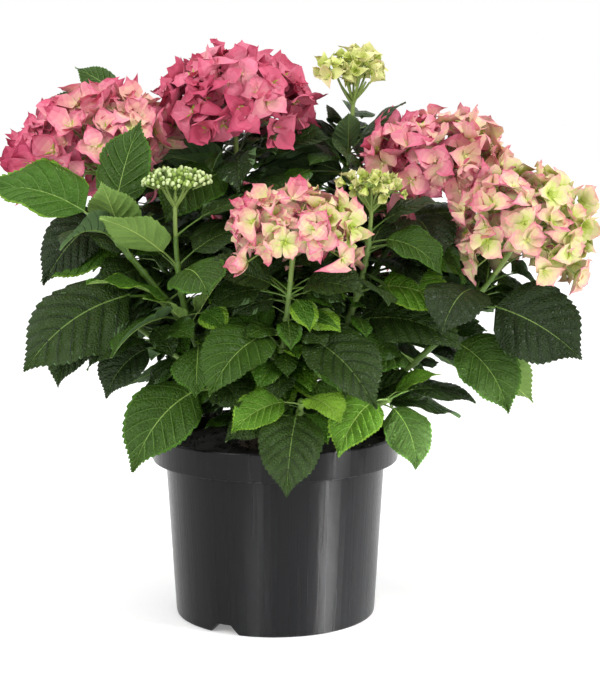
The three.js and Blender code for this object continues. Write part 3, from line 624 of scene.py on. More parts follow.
# %% Every shoot: its course, its head and its leaves
# A leaf row is: place along the shoot, heading, rise, length, droop, roll, tone from dark 0 to
# lime 1, 1 where the rule adds the opposite leaf, and its width ratio where that is its own.
# Pairs are: how many more pairs, from, to, and their length.
SHOOTS = {
  "left_head": {
    "heading": 180, "tier": "upper", "via": [-88, 12, 296], "tip": [-168, 24, 426],
    "enter": 0.46, "leave": 0.84,
    "head": {"size": [76, 72, 52], "lean": [180, 18], "reach": 112},
    "leaves": [
      [0.80, 188, -16, 86, 40, -60, 0.05, 0], [0.66, 190, 0, 90, 45, -50, 0.45, 0],
      [0.72, 262, 5, 80, 45, 0, 0.1, 1], [0.56, 240, 15, 84, 45, -20, 0.15, 1]
    ],
    "pairs": [2, 0.5, 0.7, 84]
  },
  "top_head": {
    "heading": 135, "tier": "upper", "via": [-30, 34, 320], "tip": [-37, 40, 474],
    "enter": 0.46, "leave": 0.84,
    "head": {"size": [74, 72, 47], "lean": [270, 8], "reach": 112},
    "leaves": [
      [0.80, 350, 42, 78, 30, 35, 0.1, 0], [0.78, 228, -6, 84, 50, -25, 0.35, 0],
      [0.80, 170, 35, 74, 30, -30, 0.05, 0], [0.72, 300, 20, 80, 50, 20, 0.1, 1],
      [0.62, 250, 10, 84, 50, 0, 0.15, 1]
    ],
    "pairs": [3, 0.5, 0.78, 82]
  },
  "right_head": {
    "heading": 0, "tier": "upper", "via": [78, 8, 296], "tip": [149, 20, 411],
    "enter": 0.46, "leave": 0.84,
    "head": {"size": [66, 64, 52], "lean": [0, 6], "reach": 115},
    "leaves": [
      [0.80, 285, 0, 86, 55, 0, 0.1, 1], [0.70, 335, 10, 88, 45, 30, 0.15, 1],
      [0.60, 300, 15, 84, 50, 10, 0.1, 1]
    ],
    "pairs": [3, 0.5, 0.74, 82]
  },
  "far_right_head": {
    "heading": 0, "tier": "lower", "via": [126, -38, 240], "tip": [222, -50, 361],
    "enter": 0.42, "leave": 0.86,
    "head": {"size": [60, 58, 54], "lean": [0, 8], "reach": 118},
    "leaves": [
      [0.79, 244, 5, 78, 62, -15, 0.05, 0, 0.78], [0.74, 336, -6, 92, 30, 55, 0.05, 0, 0.78],
      [0.60, 328, -22, 80, 55, 45, 0.2, 0], [0.60, 342, -42, 84, 15, -60, 0.9, 0],
      [0.66, 60, 20, 78, 50, 0, 0.2, 0], [0.66, 150, 20, 70, 50, 0, 0.2, 0]
    ],
    "pairs": [1, 0.5, 0.5, 74]
  },
  "front_head": {
    "heading": 270, "tier": "upper", "via": [8, -74, 255], "tip": [19, -105, 364],
    "enter": 0.4, "leave": 0.82,
    "head": {"size": [63, 60, 40], "lean": [270, 6], "reach": 108},
    "leaves": [
      [0.76, 200, 30, 66, 45, -45, 0.2, 0], [0.76, 325, 22, 64, 50, 30, 0.1, 0],
      [0.58, 230, -6, 90, 50, -30, 0.35, 0], [0.58, 325, -16, 92, 48, 35, 0.1, 0],
      [0.5, 150, 40, 74, 30, -50, 0.7, 0], [0.66, 60, 30, 70, 40, 0, 0.2, 0]
    ],
    "pairs": [1, 0.45, 0.45, 70]
  },
  "left_corymb": {
    "heading": 225, "tier": "upper", "via": [-70, -60, 262], "tip": [-86, -60, 402],
    "enter": 0.42, "leave": 0.86,
    "head": {"size": [29, 27, 11], "lean": [270, 6], "reach": 88},
    "leaves": [
      [0.77, 222, 46, 74, 25, 30, 0.72, 0], [0.55, 226, 52, 50, 40, 0, 0.8, 0],
      [0.56, 330, 60, 52, 20, 10, 0.8, 0], [0.68, 330, 30, 76, 50, 20, 0.2, 0],
      [0.70, 100, 35, 80, 45, 0, 0.2, 0], [0.77, 20, 40, 66, 45, 20, 0.3, 0]
    ],
    "pairs": [3, 0.46, 0.74, 74]
  },
  "right_bud": {
    "heading": 315, "tier": "upper", "via": [66, -50, 280], "tip": [86, -60, 392],
    "enter": 0.4, "leave": 0.88,
    "head": {"size": [27, 25, 18], "lean": [0, 8], "reach": 105},
    "leaves": [
      [0.86, 345, 38, 56, 40, 30, 0.2, 0], [0.82, 335, 0, 62, 60, 35, 0.3, 0],
      [0.62, 342, 28, 78, 50, 40, 0.75, 0], [0.46, 335, 12, 92, 55, 40, 0.15, 0],
      [0.82, 170, 30, 64, 45, -30, 0.2, 0], [0.5, 200, 25, 74, 45, -30, 0.15, 0],
      [0.74, 70, 30, 76, 45, 0, 0.2, 0]
    ],
    "pairs": [3, 0.45, 0.78, 72]
  },
  "top_bud": {
    "heading": 45, "tier": "upper", "via": [52, 36, 330], "tip": [74, 40, 492],
    "enter": 0.46, "leave": 0.88,
    "head": {"size": [30, 28, 27], "lean": [0, 0], "reach": 110},
    "leaves": [
      [0.78, 260, 78, 58, 20, 20, 0.35, 0], [0.80, 350, 50, 56, 20, 20, 0.3, 0],
      [0.68, 212, 12, 88, 45, -40, 0.55, 0], [0.68, 345, 20, 84, 50, 30, 0.1, 1],
      [0.62, 255, 20, 84, 50, 0, 0.1, 1]
    ],
    "pairs": [3, 0.5, 0.76, 82]
  },
  "left_shoot": {
    "heading": 180, "tier": "lower", "via": [-86, -48, 284], "tip": [-160, -72, 378],
    "enter": 0.42, "leave": 1,
    "leaves": [
      [0.9, 30, 58, 80, 15, 50, 0.42, 0], [0.9, 184, 36, 96, 50, -48, 0.62, 0],
      [0.78, 250, 62, 68, 12, 0, 0.7, 0], [0.58, 202, 5, 118, 50, -40, 0.1, 0],
      [0.70, 120, 30, 76, 40, 0, 0.15, 0], [0.56, 30, 25, 70, 45, 0, 0.2, 0]
    ],
    "pairs": [3, 0.47, 0.84, 74]
  },
  "left_low": {
    "heading": 225, "tier": "lower", "via": [-58, -58, 226], "tip": [-134, -48, 282],
    "enter": 0, "leave": 1,
    "leaves": [
      [0.42, 222, -14, 98, 60, -40, 0.34, 0], [0.78, 206, -18, 60, 60, -45, 0.2, 0],
      [1.0, 200, -30, 74, 50, -50, 0.1, 0], [0.98, 150, 20, 76, 40, -20, 0.2, 0],
      [0.6, 120, 15, 74, 50, 0, 0.2, 0]
    ],
    "pairs": [2, 0.4, 0.8, 66]
  },
  "front_low": {
    "heading": 270, "tier": "lower", "via": [18, -70, 192], "tip": [24, -106, 216],
    "enter": 0, "leave": 1,
    "leaves": [
      [0.94, 205, -2, 56, 50, -45, 0.6, 0], [0.80, 262, -18, 84, 62, 0, 0.12, 0],
      [1.0, 302, 15, 52, 50, 15, 0.95, 0], [0.78, 315, -28, 34, 30, 10, 0.6, 0],
      [0.6, 205, 5, 58, 55, -40, 0.2, 0]
    ],
    "pairs": [0, 0, 0, 0]
  },
  "right_low": {
    "heading": 315, "tier": "lower", "via": [62, -52, 194], "tip": [102, -82, 214],
    "enter": 0, "leave": 1,
    "leaves": [
      [0.98, 232, -10, 70, 60, -35, 0.85, 0], [0.88, 312, -28, 62, 65, 20, 0.3, 0],
      [0.93, 352, 38, 44, 30, 20, 0.85, 0], [0.7, 30, 20, 74, 45, 20, 0.2, 0],
      [0.98, 20, 10, 70, 45, 20, 0.2, 0]
    ],
    "pairs": [1, 0.6, 0.6, 62]
  },
  "back_left": {
    "heading": 135, "tier": "lower", "via": [-92, 90, 288], "tip": [-142, 98, 470],
    "enter": 0.36, "leave": 1,
    "leaves": [
      [1.0, 160, 38, 52, 20, -35, 0.35, 0], [0.96, 182, 24, 66, 30, -40, 0.25, 0],
      [0.92, 60, 30, 66, 30, 0, 0.3, 1], [0.78, 150, 10, 88, 45, 0, 0.2, 1],
      [0.64, 95, 10, 92, 50, 0, 0.2, 1], [0.5, 150, 5, 96, 50, 0, 0.2, 1]
    ],
    "pairs": [3, 0.45, 0.82, 84]
  },
  "back_centre": {
    "heading": 90, "tier": "upper", "via": [0, 96, 280], "tip": [-8, 164, 352],
    "enter": 0.28, "leave": 0.62,
    "head": {"size": [58, 54, 40], "lean": [90, 18], "reach": 108},
    "leaves": [
      [0.46, 130, 5, 96, 50, 0, 0.2, 1], [0.6, 60, -10, 88, 50, 0, 0.3, 1],
      [0.54, 170, 10, 92, 50, 0, 0.2, 1]
    ],
    "pairs": [3, 0.32, 0.56, 84]
  },
  "back_right": {
    "heading": 45, "tier": "lower", "via": [92, 78, 246], "tip": [134, 134, 322],
    "enter": 0.28, "leave": 0.6,
    "head": {"size": [56, 54, 40], "lean": [50, 16], "reach": 108},
    "leaves": [
      [0.48, 10, 5, 96, 50, 20, 0.2, 1], [0.58, 345, 5, 88, 50, 20, 0.2, 1],
      [0.56, 80, -10, 88, 50, 0, 0.2, 1]
    ],
    "pairs": [3, 0.32, 0.55, 84]
  },
  "back_low": {
    "heading": 90, "tier": "lower", "via": [2, 72, 200], "tip": [6, 118, 238],
    "enter": 0, "leave": 1,
    "leaves": [
      [0.98, 150, 5, 90, 60, 0, 0.3, 0], [0.98, 30, 5, 90, 60, 0, 0.3, 0],
      [0.7, 170, 10, 92, 60, 0, 0.2, 0], [0.7, 5, 10, 92, 60, 0, 0.2, 0],
      [1.0, 90, 25, 76, 60, 0, 0.7, 0]
    ],
    "pairs": [1, 0.5, 0.5, 76]
  }
}
print("shoots:", len(SHOOTS))

# %% Courses of the shoots


class Course:
    """A curve of second degree from start by middle to end."""

    def __init__(self, start, middle, end):
        self.start, self.middle, self.end = (np.array(p, float) for p in (start, middle, end))

    def at(self, t):
        t = np.asarray(t, float)[..., None]
        return (1 - t) ** 2 * self.start + 2 * t * (1 - t) * self.middle + t ** 2 * self.end

    def slope(self, t):
        return 2 * (1 - t) * (self.middle - self.start) + 2 * t * (self.end - self.middle)


def shoot_course(shoot):
    """The curve that a shoot follows, from its facet of the crown to its tip."""
    facet = FACETS[shoot["tier"]]
    rise = math.degrees(math.atan2(facet["run"], facet["climb"]))
    normal = pointing(shoot["heading"], rise)
    seat = pointing(shoot["heading"], 0) * facet["radius"] * math.cos(math.pi / CROWN_SIDES)
    seat[2] = SOIL_TOP + GAP + facet["height"]
    tip = np.array(shoot["tip"], float)
    middle = 2 * np.array(shoot["via"], float) - 0.5 * seat - 0.5 * tip
    start = unit(middle - seat)
    slant = math.sqrt(max(0, 1 - start.dot(normal) ** 2))
    foot = CANE_FOOT if shoot["enter"] > 0 else STEM_FOOT
    return Course(seat + normal * (GAP + foot * slant), middle, tip)


names = list(SHOOTS)
courses = [shoot_course(SHOOTS[name]) for name in names]
print("shoot lengths:", [round(float(np.linalg.norm(c.end - c.start))) for c in courses])

# %% What leaves each shoot asks for, in three passes


def leaf_specs(shoot, index, course):
    """Three lists of leaves: those named in the table, their partners, and the extra pairs."""
    draw = random_stream(4001 + 977 * index)
    passes = [[], [], []]

    def outward(along, heading):
        node = course.at(along)
        return -LEAF["turn_out"] * math.sin(math.atan2(node[1], node[0]) - math.radians(heading))

    def add(level, along, heading, rise, length, droop, roll, tone, ratio=None):
        width = length * (ratio or LEAF["width_ratio"]) * (0.94 + 0.12 * draw())
        passes[level].append({
            "along": along, "heading": heading, "rise": rise, "length": length,
            "droop": droop, "roll": roll, "tone": tone, "width": width,
        })

    for along, heading, rise, length, droop, roll, tone, _, *ratio in shoot["leaves"]:
        add(0, along, heading, rise, length, droop, roll, tone, *ratio)
    for along, heading, _, length, _, _, tone, paired, *_ in shoot["leaves"]:
        p, q, r, s = draw(), draw(), draw(), draw()
        if paired:
            way = heading + 180 + 40 * (p - 0.5)
            add(1, along, way, 8 + 24 * q, length * (0.75 + 0.2 * r), 40 + 25 * s,
                outward(along, way) + 20 * (q - 0.5), 0.7 * tone)
    count, first, last, size = shoot["pairs"]
    for k in range(count):
        along = first + (last - first) * (k / (count - 1) if count > 1 else 0.5)
        turn_by = shoot["heading"] + 55 + 90 * k + 40 * (draw() - 0.5)
        for side in (0, 180):
            p, q, r, s = draw(), draw(), draw(), draw()
            way = turn_by + side + 20 * (p - 0.5)
            add(2, along, way, 6 + 26 * q, size * (0.85 + 0.25 * r), 42 + 25 * s,
                outward(along, way) + 20 * (q - 0.5), 0.1 + 0.3 * r)
    return passes


def leaf_root(course, spec):
    """Where the leaf stalk leaves the stem, and where the blade begins."""
    node = course.at(min(spec["along"], 1))
    stalk = spec.get("stalk", LEAF["petiole"]) * spec["length"]
    lift = max(8, min(70, 25 + 0.5 * spec["rise"]))
    base = (
        node + pointing(spec["heading"], lift) * (STEM_TIP + 0.55 * stalk)
        + pointing(spec["heading"], spec["rise"]) * 0.45 * stalk
    )
    return node, base


def blade_frame(base, spec, s, twist=0.0):
    """Points of the blade's middle line at shares s, with their sideways and upward directions."""
    s = np.asarray(s, float)
    h = math.radians(spec["heading"])
    start = math.radians(spec["rise"])
    bend = math.radians(spec["droop"])
    now = start - bend * s
    run = (math.sin(start) - np.sin(now)) / bend
    climb = (np.cos(now) - math.cos(start)) / bend
    out = np.array([math.cos(h), math.sin(h), 0])
    level = np.array([-math.sin(h), math.cos(h), 0])
    rise = np.array([0, 0, 1.0])
    point = base + spec["length"] * (run[..., None] * out + climb[..., None] * rise)
    up = np.cos(now)[..., None] * rise - np.sin(now)[..., None] * out
    roll = (math.radians(spec["roll"]) + math.radians(twist) * s)[..., None]
    side = np.cos(roll) * level + np.sin(roll) * up
    top = np.cos(roll) * up - np.sin(roll) * level
    return point, side, top


def half_width(spec, s):
    """Half the blade's width at shares s of its length."""
    rise = (s / LEAF["widest"]) ** LEAF["base_power"]
    fall = np.maximum((1 - s) / (1 - LEAF["widest"]), 0) ** LEAF["tip_power"]
    return 0.5 * spec["width"] * rise * fall


# %% [markdown]
# ### Keeping to the solids
# In the solids a leaf that would touch a neighbour is turned a little, and one that finds no
# room is left out. Which turn was kept needn't be stored: the tip and two edge points of the
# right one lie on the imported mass, so the nearest point of its mesh tells.

# %% Find each leaf's kept turn
NEAR = 0.6


def skin(node):
    """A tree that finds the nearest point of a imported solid."""
    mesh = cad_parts[node].data
    return BVHTree.FromPolygons(
        [v.co.copy() for v in mesh.vertices], [tuple(p.vertices) for p in mesh.polygons]
    )


def kept_turn(course, spec, mass):
    """The first turn whose tip and edge points lie on the solid, or None."""
    for up, around, shrink in TRIES:
        tried = dict(spec)
        tried["rise"] += up
        tried["heading"] += around
        tried["length"] *= shrink
        tried["width"] *= shrink
        node, base = leaf_root(course, tried)
        point, side, top = blade_frame(base, tried, [0.42, 1])
        wide = half_width(tried, 0.42)
        probes = [point[1]]
        for sign in (-1, 1):
            probes.append(point[0] + sign * side[0] * wide + top[0] * LEAF["fold"] * wide)
        gaps = [mass.find_nearest(Vector(p * MM))[3] for p in probes]
        if max(gaps) < NEAR * MM:
            return tried, node, base
    return None


grown = {}
asked = 0
for index, name in enumerate(names):
    mass = skin("leaves_" + name)
    grown[name] = []
    for level in leaf_specs(SHOOTS[name], index, courses[index]):
        for spec in level:
            asked += 1
            found = kept_turn(courses[index], spec, mass)
            if found:
                grown[name].append(found)
print("leaves asked:", asked, "kept:", sum(len(v) for v in grown.values()))

# %% [markdown]
# ### Finer growth inside the crown
# A real crown is closed inside by older, darker leaves. They are dealt along the same shoots by
# a stream of their own, and one is kept only where its blade stays inside one of the crown's
# bodies and clear of every solid and of the others. They could be placed by hand, but hundreds
# are needed. Small bodies close the spaces under and behind the high heads.

# %% Where inner leaves may stand
# a body is an ellipsoid in mm: its middle and how far it reaches along x, y and z
CROWN_BODIES = [
    ((10, 25, 288), (195, 150, 125)), ((0, 5, 240), (150, 125, 78)),
    ((0, 66, 392), (150, 76, 62)), ((-130, 98, 388), (88, 86, 84)),
    ((-34, 58, 420), (84, 66, 44)),
]
FRONT_BODY = [((12, -82, 258), (95, 46, 76))]
UNDER_TOP_HEAD = [((-36, 52, 424), (80, 70, 34))]
BEHIND_TOP_HEAD = [((-12, 100, 438), (66, 64, 44)), ((-20, -6, 410), (58, 58, 42))]
UNDER_TOP_BUD = [((62, 48, 400), (72, 62, 44))]
BEHIND_TOP_BUD = [((68, 60, 432), (56, 96, 44))]
UNDER_RIGHT_HEAD = [((206, 14, 312), (58, 62, 40))]
LOWEST_INNER = 174
CLEAR = 2.2
CELL = 4.0


def all_skins():
    """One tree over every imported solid."""
    points, faces = [], []
    for mesh in (node.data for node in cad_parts.values()):
        start = len(points)
        points += [v.co.copy() for v in mesh.vertices]
        faces += [tuple(start + i for i in p.vertices) for p in mesh.polygons]
    return BVHTree.FromPolygons(points, faces)


SAMPLE_S = np.repeat(np.linspace(0.12, 1, 8), 7)
SAMPLE_T = np.tile(np.linspace(-0.95, 0.95, 7), 8)


def blade_samples(base, spec):
    """Points spread over the blade."""
    point, side, top = blade_frame(base, spec, SAMPLE_S)
    wide = half_width(spec, np.minimum(SAMPLE_S, 0.999))
    return point + side * (SAMPLE_T * wide)[:, None]


def within(bodies, samples):
    """Whether all samples lie in one of the bodies and above the pot."""
    if samples[:, 2].min() < LOWEST_INNER:
        return False
    return any((((samples - middle) / reach) ** 2).sum(1).max() < 1 for middle, reach in bodies)


print("points tested on a blade:", len(SAMPLE_S))

# %% Deal the inner leaves
# bodies, leaf length in mm, tones from and to, tries on each shoot, seed, and the one shoot that
# grows them where it isn't every shoot; the first row are young leaves at the front
INNER_PLANS = [
    (FRONT_BODY, 34, (0.15, 0.75), 400, 1409),
    (CROWN_BODIES, 58, (0.05, 0.42), 700, 2203),
    (CROWN_BODIES, 42, (0.05, 0.5), 600, 3301),
    (UNDER_TOP_HEAD, 44, (0.05, 0.5), 3000, 5501, "top_head"),
    (UNDER_TOP_BUD, 46, (0.05, 0.5), 2000, 6607, "top_bud"),
    (BEHIND_TOP_HEAD, 50, (0.05, 0.3), 4000, 7703, "top_head"),
    (BEHIND_TOP_BUD, 48, (0.05, 0.3), 4000, 8807, "top_bud"),
    (UNDER_RIGHT_HEAD, 50, (0.05, 0.3), 4000, 9103, "far_right_head"),
]


def inner_leaves(everything, taken, bodies, size, tones, tries, seed, grower=None):
    """Deals leaves along the shoots and keeps those that find room."""
    kept = []
    for index, name in enumerate(names):
        if grower and name != grower:
            continue
        draw = random_stream(seed + 331 * index)
        shoot = SHOOTS[name]
        for _ in range(tries):
            along = 0.25 * shoot["enter"] + (shoot["leave"] - 0.25 * shoot["enter"]) * draw()
            length = size * (0.8 + 0.6 * draw())
            way = 360 * draw()
            node = courses[index].at(along)
            spec = {
                "along": along, "heading": way, "rise": -25 + 60 * draw(), "length": length,
                "droop": 30 + 40 * draw(), "stalk": 0.25 + 0.55 * draw(),
                "roll": -40 * math.sin(math.atan2(node[1], node[0]) - math.radians(way)),
                "tone": tones[0] + (tones[1] - tones[0]) * draw(),
                "width": length * (0.62 + 0.12 * draw()),
            }
            node, base = leaf_root(courses[index], spec)
            samples = blade_samples(base, spec)
            if not within(bodies, samples):
                continue
            cells = set(map(tuple, np.floor(samples / CELL).astype(int)))
            if cells & taken:
                continue
            if any(everything.find_nearest(Vector(p * MM))[3] < CLEAR * MM for p in samples):
                continue
            taken |= cells
            kept.append((spec, node, base))
    return kept


room = set()
skins = all_skins()
dealt = [inner_leaves(skins, room, *plan) for plan in INNER_PLANS]
young = len(dealt[0])
inner = [leaf for row in dealt for leaf in row]
print("inner leaves:", len(inner), "in rows of", [len(row) for row in dealt])

# %% [markdown]
# ## Crown and canes
# The old wood at the foot is grey-brown with flaking ridged bark, and canes turn from brown to
# green as they climb, with a swollen ring at each old leaf pair and pale raised pores. The
# relief is in the meshes: rings pushed in and out before the faces are made.

# %% Woody crown
CROWN_PROFILE = [
    (35.9, 158.3), (32.5, 161), (29.5, 164), (27.2, 168), (26, 172.3), (24.2, 178), (22, 183),
    (20.5, 187), (18.3, 190), (15.4, 193), (12, 195.5), (8, 198.0), (4, 198.3),
]
crown = turn("woody_crown", CROWN_PROFILE, 64)
co = read_points(crown)
angle_at = np.arctan2(co[:, 1], co[:, 0])
reach = np.hypot(co[:, 0], co[:, 1]) / MM
ridges = 0.5 * np.sin(19 * angle_at + 0.25 * co[:, 2] / MM) + 0.4 * np.sin(31 * angle_at + 2)
flakes = 0.7 * lumps(co / MM * [1, 1, 0.5], 7, 21)
push = np.where(reach > 6, np.clip(ridges + flakes, -1.5, 0.3), 0)
co[:, :2] *= (1 + push * MM / np.maximum(reach * MM, 1e-6))[:, None]
write_points(crown, co)
crown.data.shade_smooth()

# dry flaking bark is dull, with fibres 3 mm wide that run three times as long up the wood
bark, bark_shader, at = new_finish("grey_brown_bark", "#3f3225", 0.85)
bark_grain = add_node(bark, "ShaderNodeMapping", {"Scale": (1, 1, 0.3)}, {"Vector": at})
mottle(
    bark, bark_shader, bark_grain.outputs[0], (300.0, 5.0, 0.65), linear("#261d15"),
    linear("#574633"), (0.7, 0.0008),
)
crown.data.materials.append(bark)
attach(crown, "root")
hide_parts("crown")
print("crown faces:", len(crown.data.polygons))

# %% Canes with swollen rings
CANE_SIDES = 16
STEM_SIDES = 12
LIMB_RINGS = 56
GREEN_FROM = 0.62


def cane_relief(count, sides, seed, nodes, depth):
    """Ridges along the cane, small lumps, and a swelling at each leaf pair."""
    draw = random_stream(seed)
    share = np.linspace(0, 1, count)[:, None]
    around = np.arange(sides)[None, :] * 2 * math.pi / sides
    lobes = 0.5 * depth * np.cos(6 * around + 3 * share + 6 * draw())
    warts = np.array([draw() for _ in range(count * sides)]).reshape(count, sides)
    warts = depth * np.where(warts > 0.93, 1.0, 0.0)
    swell = np.zeros((count, 1))
    for place in nodes:
        swell += np.exp(-((share - place) / 0.018) ** 2)
    return lobes + warts + swell


def limb_between(course, first, last, foot, tip, sides, seed, nodes, depth):
    """A limb with relief along part of a course; foot and tip are its radii."""
    share = np.linspace(0, 1, LIMB_RINGS)
    path = course.at(first + (last - first) * share)
    radii = foot + (tip - foot) * share
    places = [(n - first) / (last - first) for n in nodes]
    return tube(path, radii, sides, cane_relief(LIMB_RINGS, sides, seed, places, depth))


canes = Heap()
stems = Heap()
for index, name in enumerate(names):
    shoot = SHOOTS[name]
    course = courses[index]
    draw = random_stream(99 + index)
    pairs = sorted({round(leaf[0]["along"], 2) for leaf in grown[name]})
    if shoot["enter"] > 0:
        old = [shoot["enter"] * k for k in (0.35, 0.7)]
        points, quads, caps = limb_between(
            course, 0, shoot["enter"], CANE_FOOT - 0.25, CANE_TIP, CANE_SIDES,
            900 + index, old, 0.22,
        )
        rows = (len(points) - 2) // CANE_SIDES - 1
        level = np.repeat(np.arange(rows) / rows, CANE_SIDES)
        # bark gives way to green a little under half way up, with a ragged border
        dither = np.array([draw() for _ in range(len(quads))])
        slots = np.where(level * 1.5 + 0.5 * (dither - 0.5) > GREEN_FROM, 1, 0)
        canes.add(points, [quads, caps], [slots, 0])
    points, quads, caps = limb_between(
        course, shoot["enter"], shoot["leave"], STEM_FOOT + 0.1, STEM_TIP, STEM_SIDES,
        950 + index, pairs, 0.12,
    )
    # about half of the stems are as pale as the leaf stalks
    stems.add(points, [quads, caps], [1 if draw() < 0.5 else 0, 0])
print("canes and stems grown")

# %% [markdown]
# ## Leaves
# A hydrangea leaf is a broad oval with a drawn-out tip and a saw-toothed edge. Its side veins
# sweep forward and the blade swells between them like quilting. It could be a flat card with a
# bump pattern. Here the rows of the mesh follow the side veins, so valleys, teeth and ribs are
# all real shape, and each leaf is a closed thin blade with its own underside.

# %% The pattern of one blade
BLADE_THICK = 0.5


class BladeGrid:
    """Rows and columns of a blade: how many rows a vein takes and how the teeth step."""

    def __init__(self, rows, rows_per_vein, first_vein, across, saw):
        self.rows = rows
        self.rows_per_vein = rows_per_vein
        self.first_vein = first_vein
        self.across = np.array(across)
        self.columns = len(across)
        self.middle = self.columns // 2
        self.saw = np.array(saw)
        self.faces = self.sheets()

    def sheets(self):
        """Faces of the top and of the underside, which share the edge and both ends."""
        rows, columns = self.rows - 1, self.columns
        top = np.arange(rows * columns).reshape(rows, columns)
        base_end = rows * columns
        tip_end = base_end + 1
        under = top.copy()
        under[:, 1:-1] = (tip_end + 1 + np.arange(rows * (columns - 2))).reshape(rows, -1)
        faces = []
        for grid, flip in ((top, False), (under, True)):
            a, b = grid[:-1, :-1].ravel(), grid[1:, :-1].ravel()
            c, d = grid[1:, 1:].ravel(), grid[:-1, 1:].ravel()
            quads = np.stack([a, b, c, d], -1)
            near = np.stack([np.full(columns - 1, base_end), grid[0, :-1], grid[0, 1:]], -1)
            far = np.stack([grid[-1, :-1], np.full(columns - 1, tip_end), grid[-1, 1:]], -1)
            ends = np.concatenate([near, far])
            faces += [quads[:, ::-1], ends[:, ::-1]] if flip else [quads, ends]
        return faces


FINE = BladeGrid(
    48, 6, 3, [-1, -0.94, -0.72, -0.45, -0.18, 0, 0.18, 0.45, 0.72, 0.94, 1], [-0.6, 0.3, 1.0]
)
PLAIN = BladeGrid(22, 4, 2, [-1, -0.72, -0.36, 0, 0.36, 0.72, 1], [-0.5, 1.0])
SPARE = BladeGrid(20, 4, 2, [-1, -0.5, 0, 0.5, 1], [-0.5, 1.0])
print("faces a blade:", [sum(len(f) for f in grid.faces) for grid in (FINE, PLAIN, SPARE)])


def step_up(x, low, high):
    """Rises smoothly from 0 at low to 1 at high."""
    t = np.clip((x - low) / (high - low), 0, 1)
    return t * t * (3 - 2 * t)


# %% Shape one blade
VEIN_SWEEP = 0.58
# as shares of the leaf's length: a tooth, the swelling between veins, the groove of the midrib
TOOTH, QUILT, GROOVE = 0.013, 0.044, 0.012


def blade_shape(base, spec, draw, grid):
    """Top points by row and column, the two end points, and the upward directions."""
    length = spec["length"]
    rows = np.arange(1, grid.rows)
    foot = rows / grid.rows
    sweep = VEIN_SWEEP * (1 - foot) ** 0.85 * foot / (foot + 0.14)
    edge = foot + sweep
    # a tooth grows outwards row by row and falls back in one
    saw = grid.saw[rows % len(grid.saw)]
    toothed = step_up(edge, 0.16, 0.34)
    tooth = saw * toothed * (1.05 - edge) ** 0.4
    plain = half_width(spec, edge) * (1 - 0.6 * step_up(edge, 0.7, 1.0))
    t = np.abs(grid.across)
    at_edge = t > 0.99
    s = foot[:, None] + sweep[:, None] * t[None, :] ** 1.2
    s = s + at_edge * (0.008 * saw * toothed)[:, None]
    s = np.clip(s, 0, 1)
    y = grid.across * (plain[:, None] + at_edge * tooth[:, None] * TOOTH * length)
    bow = 0.05 * (draw() - 0.5)
    arch = 0.02 + 0.24 * draw()
    fold = LEAF["fold"] + 0.4 * (draw() - 0.25)
    twist = 36 * (draw() - 0.5)
    waves = [(0.014 + 0.028 * draw(), 1.4 + 1.2 * draw(), draw()) for _ in (0, 1)]
    rib = np.abs(np.sin(math.pi * (rows - grid.first_vein) / grid.rows_per_vein)) ** 0.6
    puff = rib[:, None] * (t ** 0.6 * (1 - 0.8 * t ** 4))[None, :]
    fade = (step_up(foot, 0.0, 0.1) * (1.02 - foot) ** 0.5)[:, None]
    groove = np.exp(-((grid.across / 0.14) ** 2))
    height = (QUILT * puff - GROOVE * groove) * length * fade
    height = height + fold * np.abs(y) - arch * plain[:, None] * t[None, :] ** 2
    for sign, (size, count, phase) in zip((-1, 1), waves):
        mask = (np.sign(grid.across) == sign) * t ** 2
        height = height + size * length * np.sin(2 * math.pi * (count * s + phase)) * mask
    point, side, top = blade_frame(base, spec, s, twist)
    y = y + bow * length * s ** 2
    points = point + side * y[..., None] + top * height[..., None]
    ends, end_side, _ = blade_frame(base, spec, [0, 1], twist)
    ends = ends + end_side * np.array([[0], [bow * length]])
    return points, ends, top


print("side veins sweep forward by up to", VEIN_SWEEP, "of the length")

# %% Raised veins
# a rib is a slim closed bar that stands out of both sides of the blade
RIB_POINTS = 6


def rib_pattern(count):
    """Faces of a four-sided bar with count rings and both ends closed."""
    k, i = np.meshgrid(np.arange(count - 1), np.arange(4), indexing="ij")
    j = (i + 1) % 4
    quads = np.stack([k * 4 + i, k * 4 + j, (k + 1) * 4 + j, (k + 1) * 4 + i], -1).reshape(-1, 4)
    last = (count - 1) * 4
    return np.concatenate([quads, [[3, 2, 1, 0]], [[last, last + 1, last + 2, last + 3]]])


def rib_points(path, up, width, crest, keel):
    """Flat bars along paths of any number; width, crest and keel run along each path."""
    ahead = unit(np.gradient(path, axis=-2))
    across = unit(np.cross(ahead, up))
    w, a, b = (np.asarray(v)[..., None] for v in (width, crest, keel))
    top = path + up * a
    bottom = path - up * (BLADE_THICK + b)
    return np.stack(
        [top - across * w, bottom - across * 0.7 * w, bottom + across * 0.7 * w, top + across * w],
        axis=-2,
    )


VEIN_FACES = rib_pattern(RIB_POINTS)
print("points along a side vein:", RIB_POINTS)

# %% [markdown]
# ### Leaf finishes
# Old leaves are deep green with a leathery satin cuticle, young ones are thin and lime. Each
# finish is one colour, because a joined mesh keeps plain colours best; soft clouds and a fine
# net of small veins in the bump keep it alive. Undersides are paler and matt.

# %% Leaf finishes
LEAF_TOPS = ["#1f300f", "#283d10", "#334f13", "#3f6518", "#4f781c", "#6c9229"]
LEAF_UNDERS = ["#516c42", "#769549"]
# the first vein tint is painted shade: dark, for the shadow in the sunken side veins of old leaves;
# the others are the veins' own paler greens
VEIN_AND_GROOVE_SHADE_TINTS = ["#18250e", "#54752f", "#83a348", "#6d8843", "#8aa653", "#a8c169"]


def scaled(hex_colour, share):
    """The linear colour times a share, its parts no higher than 1."""
    return tuple(min(1, v * share) for v in linear(hex_colour)[:3]) + (1,)


